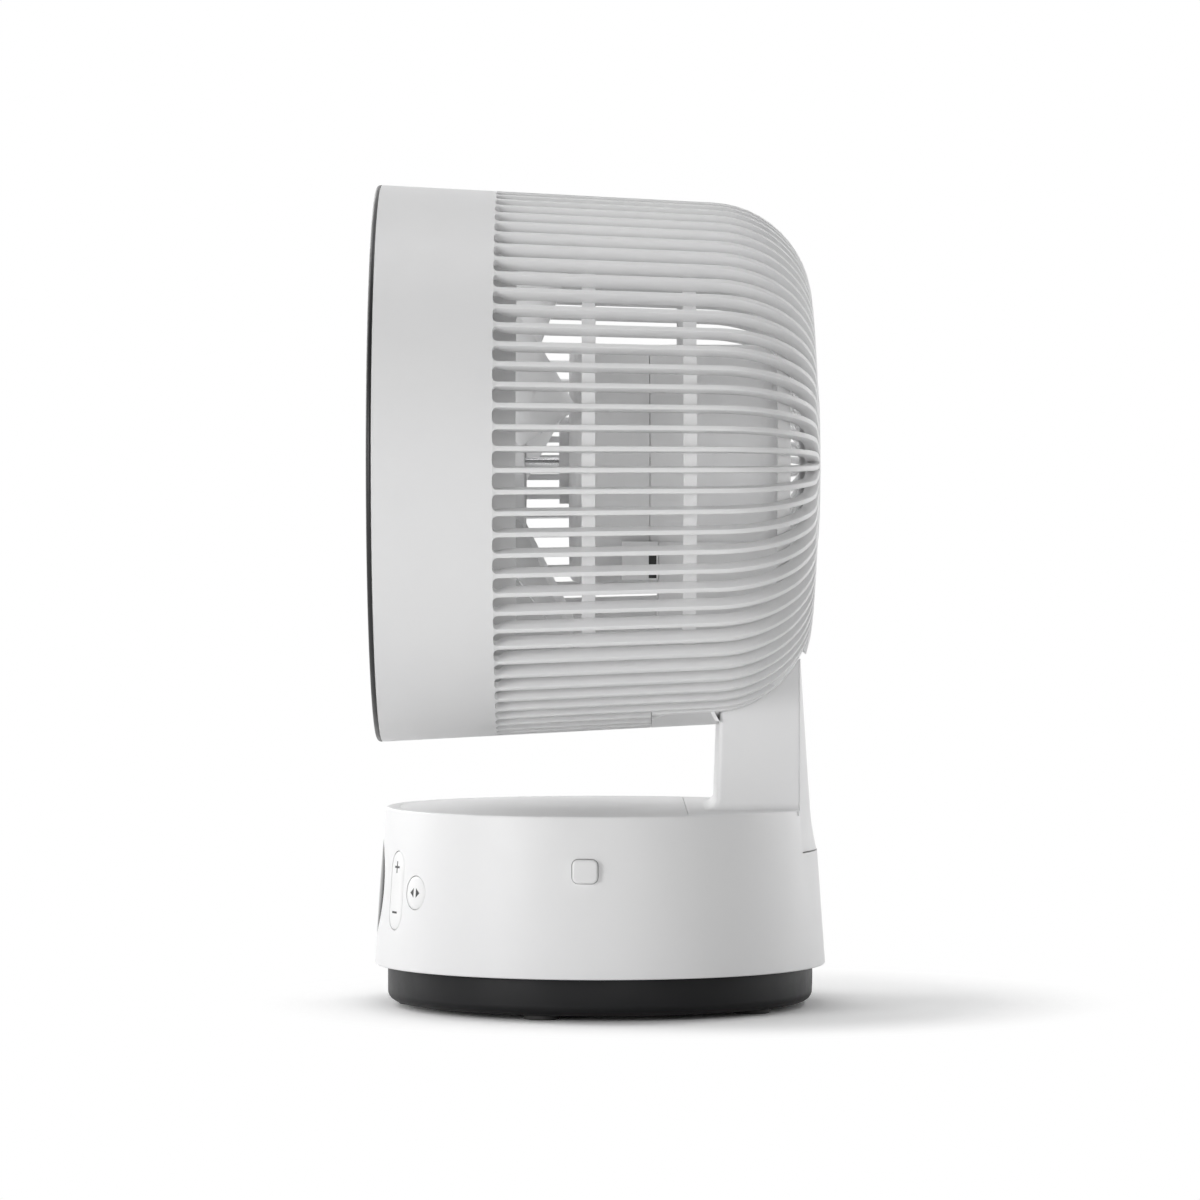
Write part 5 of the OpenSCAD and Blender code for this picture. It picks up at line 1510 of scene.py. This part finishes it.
@dataclass
class Neck:
    """The fixed neck: a hollow post with soft edges that runs out of the base's top, and its curved rear cover."""

    base: Base
    half: float = 0.0378
    wall: float = 0.0026
    front_low: float = 0.0515
    front_high: float = 0.0535
    tilt_y: float = 0.072
    tilt_z: float = 0.142
    top_r: float = 0.0224
    edge: float = 0.0021
    foot_front: float = 0.005
    foot_side: float = 0.0028
    rear: float = 0.0881
    behind: float = 0.13
    hollow_z: float = 0.106
    cheek_t: float = 0.005
    slot_half: float = 0.0125
    slot_front: float = 0.0066
    slot_l: float = 0.06
    tongue_z: float = 0.0702
    cover_back: float = 0.0176
    cover_top: float = 0.014
    cover_lean: float = 0.068
    cover_gap: float = 0.0004
    cover_edge: float = 0.0007
    notch_y: float = 0.09
    flare: float = 0.0015
    flare_h: float = 0.018
    flange_end: float = 0.0862

    def __post_init__(self) -> None:
        """Takes the cone and the height of the base's top over from the base."""
        self.cone = self.base.cone
        self.low = self.cone.top_z

    def front(self, z: float) -> float:
        """Place of the front face at a height, round the top too.

        Args:
            z: the height.

        Returns:
            The place along Y.
        """
        share = (min(z, self.tilt_z) - self.low) / (self.tilt_z - self.low)
        flat = self.front_low + share * (self.front_high - self.front_low)
        if z <= self.tilt_z:
            return flat
        reach = math.sqrt(max(0.0, self.top_r**2 - (z - self.tilt_z) ** 2))
        return max(flat, self.tilt_y - reach)

    def section(self, z: float) -> list[Point]:
        """Horizontal outline of the neck at a height.

        Args:
            z: the height.

        Returns:
            The outline's points.
        """
        grow = []
        for radius in (self.foot_front, self.foot_side):
            into = max(0.0, radius - (z - self.low))
            grow.append(radius - math.sqrt(max(0.0, radius**2 - into**2)))
        front, half, rear = self.front(z) - grow[0], self.half + grow[1], self.rear
        if z > self.tilt_z:
            rear = min(rear, self.tilt_y + math.sqrt(max(1e-10, self.top_r**2 - (z - self.tilt_z) ** 2)))
        near = min(self.edge + grow[1], (rear - front) / 3)
        left = [(-half, rear)]
        for angle in [math.pi / 2 * k / 8 for k in range(9)]:
            left.append((-half + near * (1 - math.cos(angle)), front + near * (1 - math.sin(angle))))
        return [(x, y, z) for x, y in left] + [(-x, y, z) for x, y in reversed(left)]

    def post(self) -> Mesh:
        """The neck itself, with the slot in its top for the hinge's stem.

        Returns:
            The mesh.
        """
        low, tilt_z = self.low, self.tilt_z
        heights = [low - self.wall]
        heights += [low + self.foot_front * (1 - math.cos(math.pi / 2 * k / 8)) for k in range(9)]
        heights += [low + 0.015, low + 0.030, tilt_z - 0.01]
        almost = 0.9995  # the last ring stays a little under the top, so that it keeps its width
        heights += [tilt_z + self.top_r * math.sin(math.pi / 2 * k / 16) * almost for k in range(17)]
        mesh = mesh_from(Shape().tube([self.section(z) for z in heights]), "neck_post", SMOOTH_ROUND)
        inner, outer, high = self.half - self.wall, self.slot_half + self.cheek_t, tilt_z + self.top_r - self.wall
        for low_x, high_x, top_z in (
            (-inner, inner, self.hollow_z),
            (-inner, -outer, high),
            (-self.slot_half, self.slot_half, high),
            (outer, inner, high),
        ):
            mesh = cut(mesh, self.hollow(low_x, high_x, top_z), SMOOTH_ROUND)
        slot = self.slot(self.tilt_y - self.slot_front + self.slot_l / 2, tilt_z, height=0.06)
        return cut(mesh, slot, SMOOTH_ROUND)

    def slot(self, middle_y: float, low_z: float, height: float) -> Shape:
        """A block as wide as the hinge's slot, by the middle of its length, its lower end and its height."""
        outline = bar(2 * self.slot_half, self.slot_l, middle_y)
        return Shape().plate([(x, y, low_z) for x, y in outline], (0, 0, height))

    def hollow(self, low_x: float, high_x: float, top_z: float) -> Shape:
        """A part of the neck's hollow, open at the rear, from below the base's top up to a height.

        Args:
            low_x: its right side.
            high_x: its left side.
            top_z: its upper end.

        Returns:
            The shape.
        """
        low, wall, reach = self.low - 0.01, self.wall, self.top_r - self.wall
        outline = [(self.front(low) + wall, low), (self.behind, low), (self.behind, min(top_z, self.tilt_z))]
        if top_z > self.tilt_z:
            for a in [math.pi * k / 24 for k in range(25)]:
                y, z = self.tilt_y + reach * math.cos(a), self.tilt_z + reach * math.sin(a)
                outline.append((max(y, self.front(z) + wall), z))
        else:
            outline.append((self.front(top_z) + wall, top_z))
        return Shape().plate([(low_x, y, z) for y, z in outline], (high_x - low_x, 0, 0))

    def cover_y(self, z: float) -> float:
        """Rear outline of the cover on its middle line.

        Args:
            z: the height.

        Returns:
            The place along Y.
        """
        top_z = self.tilt_z + math.sqrt(self.top_r**2 - self.cover_top**2)
        flare = max(0.0, self.low - z) / self.flare_h
        return self.tilt_y + self.cover_back + self.cover_lean * (top_z - z) + self.flare * flare**2

    def cover(self) -> Mesh:
        """The rear cover: a curved panel that flares where it runs down onto the base.

        Returns:
            The mesh.
        """
        edge_y = math.sqrt(self.cone.radius(self.low) ** 2 - self.half**2)
        top = self.tilt_z + math.sqrt(self.top_r**2 - self.cover_back**2) - self.cover_gap
        heights = [self.tongue_z + (self.low - self.tongue_z) * k / 8 for k in range(8)]
        heights += [self.low + (top - self.low) * k / 14 for k in range(15)]
        shares = [i / 28 for i in range(-28, 29)]
        outer, inner = [], []
        for z in heights:
            bulge = self.cover_y(z) - edge_y
            outer.append([(self.half * s, self.cover_y(z) - bulge * s * s, z) for s in shares])
            inner.append([(self.half * s, self.rear + 0.0001, z) for s in shares])
        shape = Shape().grid(outer).grid([row[::-1] for row in inner])
        shape.grid([outer[0], inner[0]]).grid([inner[-1], outer[-1]])
        for column in (0, -1):
            shape.grid([[row[column] for row in outer], [row[column] for row in inner]])
        mesh = bevelled(mesh_from(shape, "neck_back"), self.cover_edge, angle=50.0)
        return cut(mesh, self.slot(self.notch_y, self.tilt_z + self.top_r / 2, height=0.03), 40.0)

    def build(self) -> None:
        """Makes the neck's pieces."""
        flange = self.base.plate("neck_flange", self.flange_end)
        new_piece(joined("neck_post", [self.post(), flange]), WHITE_CASING, "base", ["neck_shell"])
        new_piece(self.cover(), WHITE_CASING, "base", ["neck_cover"])


@dataclass
class Foot:
    """The black foot with its rubber feet."""

    low_z: float
    top_z: float
    radius: float
    corner: float = 0.0045
    wall: float = 0.0025
    inlet_r: float = 0.00555
    pads: int = 5
    pad_r: float = 0.0081
    pad_ring: float = 0.0825

    def pan(self) -> Mesh:
        """The foot pan, with stiffening grooves underneath and the hollow swing post.

        Returns:
            The mesh.
        """
        z, top, r = self.low_z, self.top_z, self.radius
        floor, side = z + self.wall, r - self.wall
        post_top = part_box("foot_pan")[1].z
        step, track = post_top - 0.005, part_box("glide_ring")[0].z
        corners = [
            (0.006, z, 0.0005), (0.020, z, 0.0004),
            (0.021, z + 0.0008, 0.0004), (0.024, z + 0.0008, 0.0004), (0.025, z, 0.0004), (0.068, z, 0.0004),
            (0.069, z + 0.0006, 0.0003), (0.071, z + 0.0006, 0.0003), (0.072, z, 0.0004),
            (r, z, self.corner), (r, top, 0.0004), (side, top, 0.0004), (side, floor, 0.002),
            (0.065, floor, 0.0005), (0.065, track, 0.0003), (0.059, track, 0.0003), (0.059, floor, 0.0005),
            (0.016, floor, 0.0005), (0.016, step, 0.0003), (0.013, step, 0),
            (0.013, post_top, 0.0004), (0.006, post_top, 0.0004),
        ]
        inlet, reach = centre_of("power_inlet"), self.inlet_r
        turns = [2 * math.pi * k / 48 for k in range(48)]
        hole = Shape().tube([
            [(inlet.x + reach * math.cos(a), y, inlet.z + reach * math.sin(a)) for a in turns]
            for y in (r - 0.02, r + 0.01)
        ])
        return cut(turned_mesh("foot_dish", corners, 6, Axis.UP, 256), hole, 35.0)

    def pad(self) -> Mesh:
        """One rubber foot: a low disc with a round edge and a ring groove in its face.

        Returns:
            The mesh.
        """
        r, top = self.pad_r, self.low_z + 0.001
        corners = [
            (ON_AXIS, top, 0), (r, top, 0.0002), (r, 0.0, 0.0009), (r * 0.72, 0.0, 0.0002),
            (r * 0.66, 0.0005, 0.0002), (r * 0.60, 0.0, 0.0002), (ON_AXIS, 0.0, 0),
        ]
        shape = Shape().turned(rounded(corners, 4), Axis.UP, 48)
        shape.points = [(x, y - self.pad_ring, z) for x, y, z in shape.points]
        return mesh_from(shape, "foot_pads")

    def build(self) -> None:
        """Makes the foot's pieces."""
        new_piece(self.pan(), BLACK_FOOT, "foot", ["foot_pan"])
        new_piece(Ring(self.pads, Axis.UP).of(self.pad(), RUBBER), RUBBER, "foot", ["rubber_feet"])


# Everything that stays as the model has it


CARRIED: dict[str, Finish] = {
    "ballast_ring": IRON, "ballast_screws": STEEL, "power_inlet": BLACK_FOOT, "glide_ring": ACETAL,
    "swing_gear": ACETAL, "retaining_washer": STEEL, "washer_screws": STEEL, "base_chassis": GREY_CASING_PAINTED_LIGHT,
    "chassis_screws": STEEL, "display_module": DARK_PLASTIC, "main_board": BOARD, "board_pillars": STEEL,
    "key_boards": BOARD, "side_switch": DARK_PLASTIC, "swing_motor": STEEL, "stepper_screws": STEEL,
    "swing_pinion": ACETAL, "pinion_shaft": SHAFT_STEEL, "tilt_axle": SHAFT_STEEL, "axle_caps": STEEL,
    "friction_washers": ACETAL, "tilt_bracket": ALUMINIUM, "bracket_screws": STEEL, "neck_well": GREY_CASING_PAINTED_LIGHT,
    "underside_panel": WHITE_HEAD, "cage_hoops": WHITE_HEAD, "air_duct": GREY_CASING_PAINTED_LIGHT, "grille_screws": STEEL,
    "motor_bracket": GREY_CASING_PAINTED_LIGHT, "motor_arms": GREY_CASING_PAINTED_LIGHT, "cable_outlet": GREY_CASING_PAINTED_LIGHT,
    # cable_grommet: a rubber grommet in the cable slot. It is dark partly as its own colour and partly as painted shade
    # for the slot's shadow.
    "cable_grommet": RUBBER, "motor_case": GREY_CASING_PAINTED_LIGHT, "motor_stator": WINDING, "motor_board": BOARD,
    "front_bearing": STEEL, "rear_bearing": STEEL, "motor_shaft": SHAFT_STEEL, "motor_rotor": STEEL,
    "impeller_nut": DARK_PLASTIC,
}


def dress_carried() -> None:
    """Gives each CAD node that stays its finish."""
    for node, finish in CARRIED.items():
        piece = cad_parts[node]
        piece.data.materials.clear()
        piece.data.materials.append(finish.material())
        LOG.info("%s: dressed in %s", node, finish.name)


# Stage


@dataclass(frozen=True)
class Lamp:
    """A soft square lamp: its name, its bearing and height in degrees, and its power in watts."""

    name: str
    bearing: float
    rise: float
    watts: float


@dataclass
class Studio:
    """Floor, soft lamps, white surroundings and the camera at the photograph's place."""

    distance: float = 2.385
    eye_z: float = 0.206
    focal_px: float = 5300.0
    picture_px: float = 1200.0
    horizon_px: float = 546.0
    sensor_mm: float = 36.0
    view_end: float = 50.0
    floor_half: float = 12.0
    floor_white: Flat = (0.85, 1.15)
    floor_fade: Flat = (0.12, 0.2)
    shadow_place: Point = (-0.02, 0.04, 0.0)
    backdrop_edge: Flat = (0.25, -0.25)
    room_light: float = 0.16
    lamp_aim: Point = (0.0, 0.0, 0.2)
    lamp_away: float = 1.7
    lamp_low: float = 0.15
    lamp_size: float = 0.7
    lamps: tuple[Lamp, ...] = (
        Lamp("key", 40.0, 8.0, 11.6),
        Lamp("low_front", -25.0, 6.0, 3.0),
        Lamp("front", -25.0, 20.0, 4.2),
        Lamp("high_front", -25.0, 45.0, 4.6),
        Lamp("far_front", -60.0, 20.0, 4.4),
        Lamp("side", 100.0, 8.0, 4.2),
        Lamp("back", 185.0, 8.0, 3.0),
        Lamp("rear", 215.0, 8.0, 3.8),
        Lamp("high_rear", 215.0, 45.0, 4.6),
        Lamp("top", 0.0, 89.0, 5.0),
    )

    def camera(self) -> None:
        """The camera looks at the fan's left side from far off, a little downwards."""
        data = bpy.data.cameras.new("camera")
        data.sensor_width = self.sensor_mm
        data.lens = self.focal_px / self.picture_px * data.sensor_width
        data.clip_end = self.view_end
        pitch = math.atan((self.picture_px / 2 - self.horizon_px) / self.focal_px)
        eye = placed("camera", data)
        eye.location = (self.distance, 0.0, self.eye_z)
        eye.rotation_euler = (math.pi / 2 - pitch, 0.0, math.pi / 2)
        bpy.context.scene.camera = eye

    def light(self, lamp: Lamp) -> None:
        """Puts up a lamp, aimed at the fan.

        Args:
            lamp: the lamp.
        """
        data = bpy.data.lights.new(lamp.name, "AREA")
        data.shape = "RECTANGLE"
        data.size = data.size_y = self.lamp_size
        data.energy = lamp.watts
        turn, lift = math.radians(lamp.bearing), math.radians(lamp.rise)
        place = (
            self.lamp_away * math.cos(lift) * math.sin(turn),
            -self.lamp_away * math.cos(lift) * math.cos(turn),
            self.lamp_low + self.lamp_away * math.sin(lift),
        )
        thing = placed(lamp.name, data)
        thing.location = place
        thing.rotation_euler = (Vector(self.lamp_aim) - Vector(place)).to_track_quat("-Z", "Y").to_euler()

    def floor(self) -> None:
        """A plain pale floor that keeps the fan's shadow and turns white away from the fan."""
        ends = (-self.floor_half, self.floor_half)
        mesh = mesh_from(Shape().grid([[(x, y, 0.0) for x in ends] for y in ends]), "floor", outward=False)
        floor = placed("floor", mesh)
        material = bpy.data.materials.new("pale_floor")
        material.use_nodes = True
        tree = material.node_tree
        tree.nodes.remove(tree.nodes["Principled BSDF"])
        ray = put(tree, "ShaderNodeLightPath").outputs
        shade = spread(tree, ray["Is Camera Ray"], target=self.floor_white)
        near = put(tree, "ShaderNodeBsdfDiffuse", {"Color": shade})
        white = put(tree, "ShaderNodeEmission", {"Strength": 1.0})
        place = put(tree, "ShaderNodeTexCoord").outputs["Object"]
        away = put(tree, "ShaderNodeVectorMath", {0: place, 1: self.shadow_place}, operation="DISTANCE")
        fade = spread(tree, away.outputs["Value"], self.floor_fade, curve="SMOOTHSTEP")
        seen = combine(tree, "MAXIMUM", ray["Is Camera Ray"], ray["Is Glossy Ray"])
        share = combine(tree, "MULTIPLY", fade, seen)
        mixed = put(tree, "ShaderNodeMixShader", {"Fac": share, 1: near.outputs[0], 2: white.outputs[0]})
        feed(tree, tree.nodes["Material Output"], {"Surface": mixed.outputs[0]})
        mesh.materials.append(material)

    def surroundings(self) -> None:
        """White behind the fan, also in its reflections, and a faint light on everything else."""
        world = bpy.data.worlds.new("surroundings")
        bpy.context.scene.world = world
        world.use_nodes = True
        tree = world.node_tree
        ray = put(tree, "ShaderNodeLightPath").outputs
        place = put(tree, "ShaderNodeTexCoord").outputs["Object"]
        along = put(tree, "ShaderNodeSeparateXYZ", {0: place}).outputs["X"]
        behind = spread(tree, along, self.backdrop_edge, curve="SMOOTHSTEP")
        mirrored = combine(tree, "MULTIPLY", behind, ray["Is Glossy Ray"])
        through = combine(tree, "MAXIMUM", ray["Is Camera Ray"], ray["Is Transmission Ray"])
        seen = combine(tree, "MAXIMUM", through, mirrored)
        strength = spread(tree, seen, target=(self.room_light, 1.0))
        feed(tree, tree.nodes["Background"], {"Color": (1.0, 1.0, 1.0, 1.0), "Strength": strength})

    def build(self) -> None:
        """Sets the stage."""
        self.camera()
        self.floor()
        self.surroundings()
        for lamp in self.lamps:
            self.light(lamp)
        bpy.context.scene.view_settings.view_transform = "Standard"


def main() -> None:
    """Builds the fan's looks piece by piece."""
    logging.basicConfig(level=logging.INFO, format="%(name)s: %(message)s")
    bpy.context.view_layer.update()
    moulded_surface()
    drawn_surface()
    ring_tree()
    drum_low, drum_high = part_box("head_drum")
    form = HeadForm(drum_low.y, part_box("cage_back")[1].y, centre_of("head_drum").z, drum_high.x)
    shell_low, shell_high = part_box("base_shell")
    base = Base(BaseCone(shell_low.z, shell_high.x, shell_high.z))
    foot_low, foot_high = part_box("foot_pan")
    rim_lap = 0.0025  # how far the foot's rim runs up inside the base
    Foot(foot_low.z, shell_low.z + rim_lap, foot_high.x).build()
    base.build()
    Neck(base).build()
    Head(form).build()
    dress_carried()
    Studio().build()


if __name__ == "__main__":
    main()
